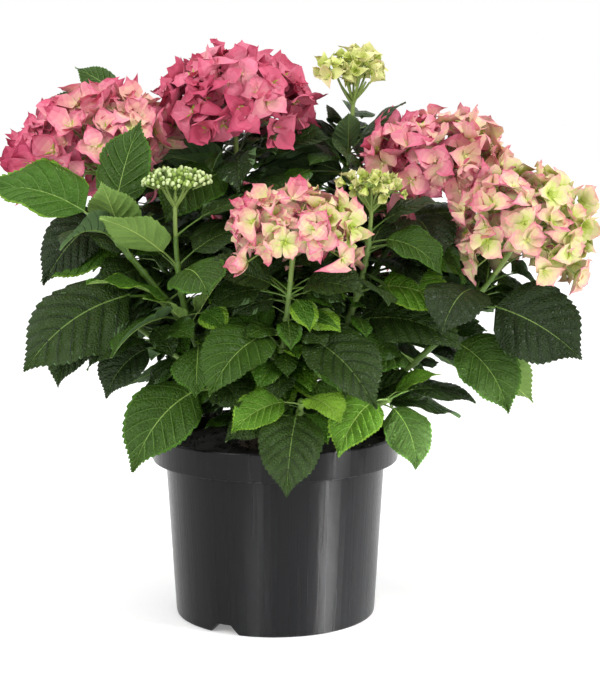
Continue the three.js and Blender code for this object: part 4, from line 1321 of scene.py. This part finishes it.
def leaf_finish(name, hex_colour, roughness, contrast, specular=0.5, net_depth=0.15):
    """A waxy skin with clouds about 17 mm wide and a net of small veins."""
    material, shader, place = new_finish(
        name, hex_colour, roughness, Specular_IOR_Level=specular
    )
    mottle(
        material, shader, place, (60.0, 3.0, 0.6), scaled(hex_colour, 1 - contrast),
        scaled(hex_colour, 1 + contrast),
    )
    # the net of small veins has cells about 3 mm wide
    net = add_node(
        material, "ShaderNodeTexVoronoi", {"Scale": 330.0, "feature": "DISTANCE_TO_EDGE"},
        {"Vector": place},
    )
    soft_net = add_node(
        material, "ShaderNodeMapRange", {"From Max": 0.34, "interpolation_type": "SMOOTHSTEP"},
        {"Value": net.outputs["Distance"]},
    )
    bump = add_node(
        material, "ShaderNodeBump", {"Strength": net_depth, "Distance": 0.0009},
        {"Height": soft_net.outputs[0]},
    )
    join_up(material, bump.outputs[0], shader, "Normal")
    return material


top_finishes = [
    leaf_finish(f"leaf_cuticle_{k}", tint, 0.34 + 0.025 * k, 0.34, 0.25 - 0.02 * k, 0.8)
    for k, tint in enumerate(LEAF_TOPS)
]
under_finishes = [
    leaf_finish(f"leaf_underside_{k}", tint, 0.7, 0.12, 0.3, 0.4)
    for k, tint in enumerate(LEAF_UNDERS)
]
# the first vein finish is painted shade: the dark lines in old leaves' sunken side veins
vein_and_groove_shade_finishes = [
    leaf_finish(f"leaf_vein_and_groove_shade_{k}", tint, 0.6, 0.1, 0.3) for k, tint in enumerate(VEIN_AND_GROOVE_SHADE_TINTS)
]
leaf_finishes = top_finishes + under_finishes + vein_and_groove_shade_finishes
FIRST_UNDER = len(top_finishes)
FIRST_VEIN_AND_GROOVE_SHADE_TINT = FIRST_UNDER + len(under_finishes)
print("leaf finishes:", len(leaf_finishes))

# %% Add one leaf with its veins and stalk
# a leaf's tone from 0 to 1 is spread over the finishes, and chance shifts it by up to a step
TONE_SPREAD, TONE_CHANCE = 5.2, 1.3
PALEST = len(LEAF_TOPS) - 1
USUAL_LENGTH = 90
VEINLESS_ROWS = 11


def add_leaf(heap, twigs, node, base, spec, draw, grid=FINE):
    """Adds the blade and its veins to heap and the stalk to twigs."""
    points, ends, top = blade_shape(base, spec, draw, grid)
    middle = grid.middle
    inner_side = points[:, 1:-1] - top[:, 1:-1] * BLADE_THICK
    every = np.concatenate([points.reshape(-1, 3), ends, inner_side.reshape(-1, 3)])
    shifted = round(spec["tone"] * TONE_SPREAD + TONE_CHANCE * (draw() - 0.5))
    tone = int(np.clip(shifted, 0, PALEST))
    under = FIRST_UNDER + (1 if tone >= 3 else 0)
    # old leaves take the first, dark vein tint, painted shade for their sunken veins
    vein = FIRST_VEIN_AND_GROOVE_SHADE_TINT + (0 if tone <= 1 else (1 if tone <= 3 else 2))
    # leaves that have aged a little keep a yellower rim
    rim = min(PALEST, tone + 1 + (tone > 2)) if tone > 1 and draw() < 0.7 else tone
    slots = np.full((grid.rows - 2, grid.columns - 1), tone)
    slots[:, [0, -1]] = rim
    heap.add(every, grid.faces, [slots.ravel(), tone, under, under])

    size = spec["length"] / USUAL_LENGTH
    if grid is FINE:
        starts = np.arange(grid.first_vein, grid.rows - VEINLESS_ROWS, grid.rows_per_vein)
        for sign in (-1, 1):
            columns = middle + sign * np.arange(RIB_POINTS)
            path = points[starts][:, columns]
            up = top[starts][:, columns]
            fade = np.linspace(1, 0.25, RIB_POINTS)[None, :] * np.ones((len(starts), 1))
            # old leaves have wide sunken side veins, tinted dark as painted shade of their grooves;
            # young ones have thin raised veins of their own paler green
            wide, crest = (0.62, 0.05) if tone < 2 else (0.42, 0.12)
            rings = rib_points(path, up, wide * size * fade, crest * size, 0.4 * size * fade)
            faces = VEIN_FACES[None] + np.arange(len(starts))[:, None, None] * RIB_POINTS * 4
            heap.add(rings.reshape(-1, 3), [faces.reshape(-1, 4)], [vein])
    pick = np.arange(2, grid.rows - 1, 3)
    path = np.concatenate([ends[:1], points[pick, middle], ends[1:]])
    up = np.concatenate([top[:1, middle], top[pick, middle], top[-1:, middle]])
    fade = np.linspace(1, 0.12, len(path))
    rings = rib_points(path, up, 0.72 * size * fade, 0.2 * size, 0.9 * size * fade)
    heap.add(rings.reshape(-1, 3), [rib_pattern(len(path))], [vein + 3])

    # the stalk bows out of the stem and runs on into the midrib
    inside = path[2]
    lean = node + 0.55 * (base - node) + np.array([0, 0, 0.06 * np.linalg.norm(base - node)])
    stalk = Course(node, lean, 0.5 * (base + inside))
    rings, sides = (8, 7) if grid is FINE else (6, 5)
    share = np.linspace(0, 1, rings)
    radii = size * (1.25 + 1.1 * np.exp(-share / 0.12) - 0.35 * share)
    add_tube(twigs, stalk.at(share), radii, sides, 0 if tone <= 1 else 1)


print("leaf tones:", PALEST + 1)

# %% Grow every leaf
LEAF_PIECES = {
    "leaves_left": ["left_head", "left_shoot", "left_low", "left_corymb", "front_low"],
    "leaves_right": ["right_head", "far_right_head", "right_bud", "right_low", "front_head"],
    "leaves_back": [
        "top_head", "top_bud", "back_left", "back_centre", "back_right", "back_low",
    ],
}
for piece_name, members in LEAF_PIECES.items():
    heap = Heap()
    for name in members:
        draw = random_stream(5003 + 71 * names.index(name))
        for spec, node, base in grown[name]:
            add_leaf(heap, stems, node, base, spec, draw)
    piece = heap.make(piece_name, leaf_finishes, sharp=60)
    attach(piece, "root")
    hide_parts(*["leaves_" + name for name in members])

# the inner leaves are plainer, and those deep inside the plainest
heap = Heap()
draw = random_stream(6007)
for k, (spec, node, base) in enumerate(inner):
    add_leaf(heap, stems, node, base, spec, draw, PLAIN if k < young else SPARE)
inner_piece = heap.make("leaves_inner", leaf_finishes, sharp=60)
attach(inner_piece, "root")
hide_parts(*["leaves_" + name for name in names])
print("leaf pieces:", list(LEAF_PIECES) + [inner_piece.name])

# %% [markdown]
# ## Flower heads
# A mophead is a dome of sterile florets, each of four papery sepals round a tiny bud, on its
# own fine stalk. It opens lime, turns cream and flushes pink from the edges in. Florets sit by
# the solids' rule, a golden-angle spiral over the dome, only closer together and in layers.

# %% Where the florets sit
GOLDEN = 2.399963
SHELL = 0.95
LAYER_DEPTH = 0.16


def lean_matrix(lean):
    """The turn that leans a head over towards a heading, by an angle."""
    h, a = math.radians(lean[0]), math.radians(lean[1])
    x, y = -math.sin(h), math.cos(h)
    c, s, k = math.cos(a), math.sin(a), 1 - math.cos(a)
    return np.array([
        [c + x * x * k, x * y * k, y * s],
        [x * y * k, c + y * y * k, -x * s],
        [-y * s, x * s, c],
    ])


def bloom_places(head, centre, count, seed, shell, tilt):
    """Points, facings, dome directions, spins and sizes of the florets of one layer."""
    draw = random_stream(seed)
    turn_to = lean_matrix(head["lean"])
    size = np.array(head["size"], float)
    lowest = math.cos(math.radians(head["reach"]))
    places = []
    for i in range(count):
        z = 1 - (1 - lowest) * ((i + 0.5) / count)
        across = math.sqrt(1 - z * z)
        phi = i * GOLDEN + 0.5 * (draw() - 0.5)
        way = np.array([across * math.cos(phi), across * math.sin(phi), z])
        point = way * size * shell
        facing = unit(way / size)
        facing = unit(facing + math.radians(tilt) * np.array([2 * draw() - 1 for _ in range(3)]))
        places.append((
            turn_to @ point + centre, turn_to @ facing, way, math.pi * draw(), 0.86 + 0.28 * draw()
        ))
    return places


print("florets turn by", round(math.degrees(GOLDEN), 1), "degrees from one to the next")

# %% One sepal's pattern and shape
# rows along the sepal, the share of its width at each row, and columns across it
SEPAL_S = np.array([0.0, 0.2, 0.42, 0.64, 0.84, 0.96])
SEPAL_W = np.array([0.16, 0.62, 1.0, 0.95, 0.6, 0.22])
SEPAL_T = np.array([-1, -0.55, 0, 0.55, 1.0])
SEPAL_THICK = 0.35


def sepal_pattern():
    """Faces of a sepal, how far out each lies from 0 to 1, and the number of its points."""
    rows, columns = len(SEPAL_S), len(SEPAL_T)
    top = np.arange(rows * columns).reshape(rows, columns)
    tip = rows * columns
    under = top.copy()
    under[1:, 1:-1] = (tip + 1 + np.arange((rows - 1) * (columns - 2))).reshape(rows - 1, -1)
    quads, tris, quad_zone, tri_zone = [], [], [], []
    for grid, flip, paler in ((top, False, 0), (under, True, 1)):
        for j in range(rows - 1):
            for c in range(columns - 1):
                face = [grid[j, c], grid[j + 1, c], grid[j + 1, c + 1], grid[j, c + 1]]
                quads.append(face[::-1] if flip else face)
                outer = 1 if c in (0, columns - 2) and j > 0 else 0
                quad_zone.append((j + outer - 0.5 * paler) / (rows - 1))
        for c in range(columns - 1):
            face = [grid[-1, c], tip, grid[-1, c + 1]]
            tris.append(face[::-1] if flip else face)
            tri_zone.append(1 - 0.1 * paler)
    count = tip + 1 + (rows - 1) * (columns - 2)
    return np.array(quads), np.array(tris), np.array(quad_zone), np.array(tri_zone), count


SEPAL_QUADS, SEPAL_TRIS, QUAD_ZONE, TRI_ZONE, SEPAL_COUNT = sepal_pattern()
print("faces a sepal:", len(SEPAL_QUADS) + len(SEPAL_TRIS))

# %% Shape one sepal


def sepal_points(origin, out, up, length, width, curl, cup, keel, wave, phase):
    """A closed sepal that leaves origin along out, curls towards up and is cupped across."""
    s = SEPAL_S[:, None]
    t = SEPAL_T[None, :]
    side = np.cross(up, out)
    y = 0.5 * width * SEPAL_W[:, None] * t
    x = length * (s - 0.06 * t ** 2 * s) + 0 * t
    z = length * (curl[0] * s + curl[1] * s ** 2 + curl[2] * s ** 3)
    z = z + cup * np.abs(y) ** 1.6 / max(width, 1) ** 0.6 + keel * np.abs(y)
    z = z + wave * length * np.sin(3.2 * math.pi * s + phase + 1.5 * np.sign(t)) * t ** 2
    grid = origin + x[..., None] * out + y[..., None] * side + z[..., None] * up
    end = origin + length * 1.06 * out + length * (curl[0] + curl[1] * 1.1 + curl[2] * 1.2) * up
    inner = grid[1:, 1:-1] - up * SEPAL_THICK
    return np.concatenate([grid.reshape(-1, 3), end[None], inner.reshape(-1, 3)])


print("points a sepal:", SEPAL_COUNT)

# %% A small round bud and a straight stalk


def ball_pattern(sides, rings):
    """Points and faces of a round ball with a radius of 1."""
    angle = np.arange(sides) * 2 * math.pi / sides
    polar = np.arange(1, rings) * math.pi / rings
    points = [[0, 0, 1]]
    for p in polar:
        wide, high = math.sin(p), math.cos(p)
        points += [[wide * math.cos(a), wide * math.sin(a), high] for a in angle]
    points.append([0, 0, -1])
    last = len(points) - 1
    tris = [[0, 1 + i, 1 + (i + 1) % sides] for i in range(sides)]
    low = 1 + (rings - 2) * sides
    tris += [[last, low + (i + 1) % sides, low + i] for i in range(sides)]
    quads = []
    for r in range(rings - 2):
        a = 1 + r * sides
        quads += [
            [a + i, a + sides + i, a + sides + (i + 1) % sides, a + (i + 1) % sides]
            for i in range(sides)
        ]
    return np.array(points), np.array(quads), np.array(tris)


BALL, BALL_QUADS, BALL_TRIS = ball_pattern(6, 4)
STRAW_QUADS = np.array([[0, 1, 4, 3], [1, 2, 5, 4], [2, 0, 3, 5]])
STRAW_TRIS = np.array([[0, 2, 1], [3, 4, 5]])


def straw(start, end, foot, tip):
    """A straight three-sided stalk."""
    ahead = unit(end - start)
    side = unit(np.cross(ahead, [0.3, 0.5, 0.81]))
    other = np.cross(ahead, side)
    turns = np.arange(3) * 2 * math.pi / 3
    ring = np.cos(turns)[:, None] * side + np.sin(turns)[:, None] * other
    return np.concatenate([start + ring * foot, end + ring * tip])


def add_straw(heap, start, end, foot, tip, slot):
    heap.add(straw(start, end, foot, tip), [STRAW_QUADS, STRAW_TRIS], [slot, slot])


def add_ball(heap, points, slot):
    heap.add(points, [BALL_QUADS, BALL_TRIS], [slot, slot])


def side_of(facing):
    """Any direction square to facing."""
    aside = np.array([0, 0, 1.0]) if abs(facing[2]) < 0.9 else np.array([1.0, 0, 0])
    return unit(np.cross(aside, facing))


print("faces a bud:", len(BALL_QUADS) + len(BALL_TRIS))

# %% [markdown]
# ### Sepal finishes
# A sepal is thin and papery, so it is nearly matt, with soft clouds about 9 mm wide. It could be
# painted by an attribute that runs from base to edge. A row of plain finishes, one a small step
# from the next, gives the same flush and comes through the export unchanged.

# %% Sepal finishes, from lime through cream to deep pink
PINK_STEPS = [
    "#aec24c", "#c8d66d", "#dbdf8f", "#e6dba6", "#ebcbaa", "#ecb5a8", "#e89aa2", "#df7c94",
    "#d2607c", "#bd4465", "#982746",
]


def between(first, second):
    """The sRGB hex halfway between two."""
    pairs = [(int(first[i:i + 2], 16) + int(second[i:i + 2], 16)) // 2 for i in (1, 3, 5)]
    return "#%02x%02x%02x" % tuple(pairs)


RAMP = [PINK_STEPS[0]]
for before_it, tint in zip(PINK_STEPS, PINK_STEPS[1:]):
    RAMP += [between(before_it, tint), tint]


def petal_finish(name, hex_colour):
    material, shader, place = new_finish(name, hex_colour, 0.62, Specular_IOR_Level=0.25)
    mottle(
        material, shader, place, (110.0, 3.0, 0.6), scaled(hex_colour, 0.78),
        scaled(hex_colour, 1.05), (0.25, 0.0004),
    )
    return material


petal_finishes = [petal_finish(f"sepal_{k}", tint) for k, tint in enumerate(RAMP)]
stalk_finish = leaf_finish("fresh_stalk", "#829a4b", 0.5, 0.12)
STALK_SLOT = len(petal_finishes)
PALE_BUD, GREEN_BUD = STALK_SLOT + 1, STALK_SLOT + 2
head_finishes = petal_finishes + [
    stalk_finish, petal_finish("pale_bud", "#cfdfa0"), petal_finish("green_bud", "#90ab50"),
]
print("sepal finishes:", len(petal_finishes))

# %% Build one floret


def add_floret(heap, point, facing, spin, size, centre, colours, draw, closed=0.0, stalk=0.55):
    """Four sepals, a centre bud and a stalk. colours are the ramp's steps at base and edge."""
    u = side_of(facing)
    v = np.cross(facing, u)
    first, last = (2 * c for c in colours)
    points, quad_slots, tri_slots = [], [], []
    for k in range(4):
        shade = 1.6 * (draw() - 0.5)
        for zones, slots in ((QUAD_ZONE, quad_slots), (TRI_ZONE, tri_slots)):
            steps = np.round(first + shade + (last - first) * zones ** 1.15)
            slots.append(np.clip(steps, 0, STALK_SLOT - 1))
        angle = spin + k * math.pi / 2 + 0.22 * (draw() - 0.5)
        flat = math.cos(angle) * u + math.sin(angle) * v
        bend = closed + 0.24 + 0.9 * (draw() - 0.5)
        out = unit(flat + facing * bend)
        up = unit(facing - flat * bend)
        length = size * (0.88 + 0.24 * draw())
        curl = (0.0, 0.8 * (draw() - 0.35), 1.3 * (draw() - 0.62))
        points.append(sepal_points(
            point + facing * (0.35 if k % 2 else -0.35), out, up, length,
            length * (0.84 + 0.2 * draw()), curl, 0.1 + 1.1 * draw(), 0.75 * (draw() - 0.25),
            0.03 + 0.1 * draw(), 6.28 * draw(),
        ))
    shift = (np.arange(4) * SEPAL_COUNT)[:, None, None]
    heap.add(
        np.concatenate(points),
        [(SEPAL_QUADS[None] + shift).reshape(-1, 4), (SEPAL_TRIS[None] + shift).reshape(-1, 3)],
        [np.concatenate(quad_slots), np.concatenate(tri_slots)],
    )
    eye = BALL * (0.085 * size) + point + facing * 0.08 * size
    add_ball(heap, eye, max(0, round(first) - 2))
    if stalk < 1:
        root = centre + (point - centre) * stalk
        add_straw(heap, root, point, 0.75, 0.6, STALK_SLOT)


sepal_faces = len(SEPAL_QUADS) + len(SEPAL_TRIS)
print("faces a floret:", 4 * sepal_faces + len(BALL_QUADS) + len(BALL_TRIS))

# %% [markdown]
# ### Filling the heads
# Each real head has a colour of its own, by its age, and shades over from one side to the other.
# Florets stand at their own depth and tilt, so the dome is uneven, and a few nod below its rim.
# A tidy dome of equal florets would look like a paper ball.

# %% How each head is filled
# counts of florets in each layer from the outside in, sepal length in mm, and its colours: a
# mean step at the base and at the edge of a sepal, how much they vary, and how the colour
# drifts over the dome (towards a heading, by so many steps). Then how many florets nod below
# the rim, from which heading on, and the share of the solid head at which the outer layer sits.
HEADS = {
    "left_head": {"counts": (54, 34), "sepal": 20.5, "base": 5.0, "edge": 8.4, "vary": 2.6,
                  "drift": (0, -1.6), "hang": 7, "hang_from": 200},
    "top_head": {"counts": (52, 34), "sepal": 20.5, "base": 6.8, "edge": 8.3, "vary": 2.0,
                 "drift": (0, 0.0), "shell": 0.85, "hang": 7, "hang_from": 260},
    "right_head": {"counts": (48, 30), "sepal": 19.0, "base": 4.2, "edge": 7.7, "vary": 2.6,
                   "drift": (180, 0.8), "hang": 5, "hang_from": 250},
    "far_right_head": {"counts": (48, 26, 32), "sepal": 17.0, "base": 1.0, "edge": 6.2,
                       "vary": 2.4, "drift": (180, 1.2), "hang": 6, "hang_from": 215},
    "front_head": {"counts": (44, 28), "sepal": 16.5, "base": 1.8, "edge": 7.0, "vary": 4.0,
                   "drift": (180, 1.0), "shell": 0.82, "hang": 5, "hang_from": 235},
    "back_centre": {"counts": (46, 16), "sepal": 17.5, "base": 5.6, "edge": 8.2, "vary": 2.0,
                    "drift": (90, 0.8), "hang": 5, "hang_from": 60},
    "back_right": {"counts": (46, 16), "sepal": 17.5, "base": 4.6, "edge": 7.8, "vary": 2.4,
                   "drift": (0, 0.8), "hang": 5, "hang_from": 20},
}
print("florets planned:", sum(sum(plan["counts"]) + plan["hang"] for plan in HEADS.values()))

# %% Fill a head
FLORET_TILT = 34


def fill_head(heap, name, index):
    """Layers of florets over the dome, each on a stalk towards the middle of the head."""
    head = SHOOTS[name]["head"]
    plan = HEADS[name]
    centre = np.array(SHOOTS[name]["tip"], float)
    draw = random_stream(8009 + 131 * index)
    drift_way = pointing(plan["drift"][0], 0)
    for layer, count in enumerate(plan["counts"]):
        shell = plan.get("shell", SHELL) - LAYER_DEPTH * layer
        for point, facing, way, spin, scale in bloom_places(
                head, centre, count, 7001 + 613 * index + 97 * layer, shell, FLORET_TILT):
            shift = plan["vary"] * (draw() - 0.5) + plan["drift"][1] * way.dot(drift_way)
            pair = (draw() - 0.5) * 1.2
            # each deeper layer is 0.6 of a step deeper pink at its edges: painted shade inside the
            # head
            colours = (plan["base"] + shift + pair, plan["edge"] + 0.8 * shift + 0.6 * layer)
            inward = point - facing * (1.0 + 7.0 * draw() ** 1.5)
            add_floret(heap, inward, facing, spin, plan["sepal"] * scale * (1 - 0.12 * layer),
                       centre, colours, draw)


print("a layer lies", LAYER_DEPTH, "of the head's size under the one outside it")

# %% Nodding florets and the head's stalk
RAY_SHARE = np.linspace(0, 1, 6)
FORK_RING = 6


def hang_florets(heap, name, index):
    """A few florets that nod below the rim of the head on bowed stalks of their own."""
    head = SHOOTS[name]["head"]
    plan = HEADS[name]
    centre = np.array(SHOOTS[name]["tip"], float)
    size = np.array(head["size"], float)
    draw = random_stream(9001 + 57 * index)
    for k in range(plan["hang"]):
        phi = math.radians(plan["hang_from"] + 360 * k / plan["hang"] + 30 * (draw() - 0.5))
        rim = np.array([math.cos(phi), math.sin(phi), 0])
        point = centre + size * (rim * (0.72 + 0.14 * draw()) + [0, 0, -0.5 - 0.22 * draw()])
        facing = unit(rim + [0, 0, -0.5 + 0.5 * draw()])
        fork = centre + [0, 0, -0.2 * size[2]]
        bow = Course(fork, 0.5 * (fork + point) + [0, 0, 0.15 * size[2]], point)
        add_tube(heap, bow.at(RAY_SHARE), 1.0 - 0.3 * RAY_SHARE, 5, STALK_SLOT)
        tone = plan["edge"] - 0.6 + draw()
        add_floret(heap, point, facing, 6.28 * draw(), plan["sepal"] * (0.9 + 0.2 * draw()),
                   centre, (plan["base"] + 0.8, tone), draw, closed=0.3, stalk=1)


def stalk_under(heap, course, shoot, foot=2.2, tip=2.7, rays=6, spread=0.55):
    """The head's main stalk and the rays that part from it."""
    centre = np.array(shoot["tip"], float)
    first = shoot["leave"]
    share = np.linspace(0, 1, 10)
    start = course.at(first)
    end = centre + 0.25 * (start - centre)
    middle = start + course.slope(first) * (1 - first) / 2
    path = Course(start, middle, end).at(share)
    add_tube(heap, path, foot + (tip - foot) * share, 9, STALK_SLOT)
    fork = path[FORK_RING]
    size = np.array(shoot["head"]["size"], float)
    turn_to = lean_matrix(shoot["head"]["lean"])
    for k in range(rays):
        phi = 2 * math.pi * (k + 0.3) / rays
        rim = centre + turn_to @ (size * [spread * math.cos(phi), spread * math.sin(phi), -0.05])
        bow = np.array([0.6 * rim[0] + 0.4 * fork[0], 0.6 * rim[1] + 0.4 * fork[1],
                        fork[2] + 0.45 * (rim[2] - fork[2])])
        add_tube(heap, Course(fork, bow, rim).at(RAY_SHARE), 1.5 - 0.6 * RAY_SHARE, 6, STALK_SLOT)


print("rings of a ray:", len(RAY_SHARE))

# %% Make the flower heads
FLOWER_PIECES = {
    "flowers_left": ["left_head", "front_head"],
    "flowers_top": ["top_head", "back_centre"],
    "flowers_right": ["right_head", "far_right_head", "back_right"],
}
for piece_name, members in FLOWER_PIECES.items():
    heap = Heap()
    for name in members:
        index = names.index(name)
        fill_head(heap, name, index)
        hang_florets(heap, name, index)
        stalk_under(heap, courses[index], SHOOTS[name])
    piece = heap.make(piece_name, head_finishes, sharp=70)
    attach(piece, "root")
    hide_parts(*["flowers_" + name for name in members])

# %% [markdown]
# ## Unopened clusters
# Before it opens a head is a flat plate of pinhead buds, then a dome of half-open lime florets.

# %% A plate of buds
PLATE_BUDS = 210


def bud_plate(heap, name, count, index):
    """Tiny round buds on short stalks, in the spiral, over a low dome."""
    shoot = SHOOTS[name]
    head = shoot["head"]
    centre = np.array(shoot["tip"], float)
    draw = random_stream(611 + index)
    for point, _, way, _, _ in bloom_places(
            head, centre, count, 7001 + 613 * index, 1.0, 10):
        bump = 0.6 + 0.6 * draw()
        rim = math.hypot(point[0] - centre[0], point[1] - centre[1]) / head["size"][0]
        clump = 1 + 0.12 * math.cos(5 * math.atan2(way[1], way[0]))
        spot = centre + (point - centre) * [clump, clump, 1] + [0, 0, 3.5 * draw() - 1]
        size = 1.1 + 0.75 * bump * (1 - 0.3 * rim)
        slot = PALE_BUD if draw() < 0.55 else GREEN_BUD
        add_ball(heap, BALL * size * [1, 1, 1.15] + spot, slot)
        root = centre + (spot - centre) * 0.6 + [0, 0, -5]
        add_straw(heap, root, spot, 0.5, 0.45, STALK_SLOT)


buds = Heap()
bud_plate(buds, "left_corymb", PLATE_BUDS, names.index("left_corymb"))
print("points of the plate:", buds.count)

# %% Half-open clusters


def half_open(heap, name, lobes, florets, sepal, closed, index):
    """Lobes of half-open lime florets, each lobe on a branch of its own."""
    shoot = SHOOTS[name]
    head = shoot["head"]
    centre = np.array(shoot["tip"], float)
    draw = random_stream(677 + index)
    fork = centre + 0.55 * (courses[index].at(shoot["leave"]) - centre)
    for spot, outward, _, _, scale in bloom_places(
            dict(head, reach=80), centre, lobes, 41 + index, 0.6, 10):
        branch = Course(fork, 0.5 * (fork + spot) + 3 * outward, spot)
        add_tube(heap, branch.at(RAY_SHARE), 1.5 - 0.5 * RAY_SHARE, 6, STALK_SLOT)
        small = {"size": 0.36 * np.array(head["size"], float), "lean": (0, 0), "reach": 120}
        for point, facing, _, turned, _ in bloom_places(
                small, spot + 2 * outward, florets, 53 + index + round(100 * scale), 1.0, 30):
            add_straw(heap, spot, point, 0.7, 0.6, STALK_SLOT)
            if draw() < 0.25:
                add_ball(heap, BALL * (1.4 + draw()) + point, 1)
                continue
            tone = 1.2 + 1.3 * draw()
            add_floret(heap, point, facing, turned, sepal * (0.75 + 0.5 * draw()), spot,
                       (tone - 0.6, tone + 0.6), draw, closed=closed + draw(), stalk=1)


# lobes, florets on each, sepal length in mm, and how far the sepals are still closed
half_open(buds, "right_bud", 7, 8, 7.5, 1.5, names.index("right_bud"))
half_open(buds, "top_bud", 5, 10, 10.5, 0.7, names.index("top_bud"))
BUD_SHOOTS = ("left_corymb", "right_bud", "top_bud")
for name in BUD_SHOOTS:
    stalk_under(buds, courses[names.index(name)], SHOOTS[name], 2.0, 1.9, 5, 0.5)
bud_piece = buds.make("bud_clusters", head_finishes, sharp=70)
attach(bud_piece, "root")
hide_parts(*["buds_" + name for name in BUD_SHOOTS])

# %% [markdown]
# ## Bark of canes and stems
# Canes start brown and flaky and turn to smooth green near the leaves, so they have two
# finishes dealt out face by face. The green skin is smooth and satin, with specks 2 mm wide.
# Leaf stalks are a fresher, paler green.

# %% Make canes and stems
green_cane, green_shader, at = new_finish("green_cane_skin", "#4c672c", 0.5)
mottle(
    green_cane, green_shader, at, (500.0, 3.0, 0.5), linear("#3d5c1b"), linear("#6d9038"),
    (0.4, 0.0003),
)
pale_stalk = leaf_finish("pale_leaf_stalk", "#728f45", 0.5, 0.1)

cane_piece = canes.make("canes", [bark, green_cane], sharp=60)
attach(cane_piece, "root")
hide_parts(*["cane_" + n for n in names if SHOOTS[n]["enter"] > 0])
stem_piece = stems.make("stems_and_leaf_stalks", [green_cane, pale_stalk], sharp=60)
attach(stem_piece, "root")
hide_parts(*["leaves_" + n for n in names])

# %% [markdown]
# ## How far the plant reaches
# How far the dressed plant reaches past the solids' box on each side is printed. The dressed
# plant has to keep to the solids' box.

# %% How far the plant reaches
low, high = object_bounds()
past_low = [round(1000 * (a - b), 1) for a, b in zip(cad_low, low)]
past_high = [round(1000 * (b - a), 1) for a, b in zip(cad_high, high)]
print("grew past the frame by mm, low side:", past_low, "high side:", past_high)
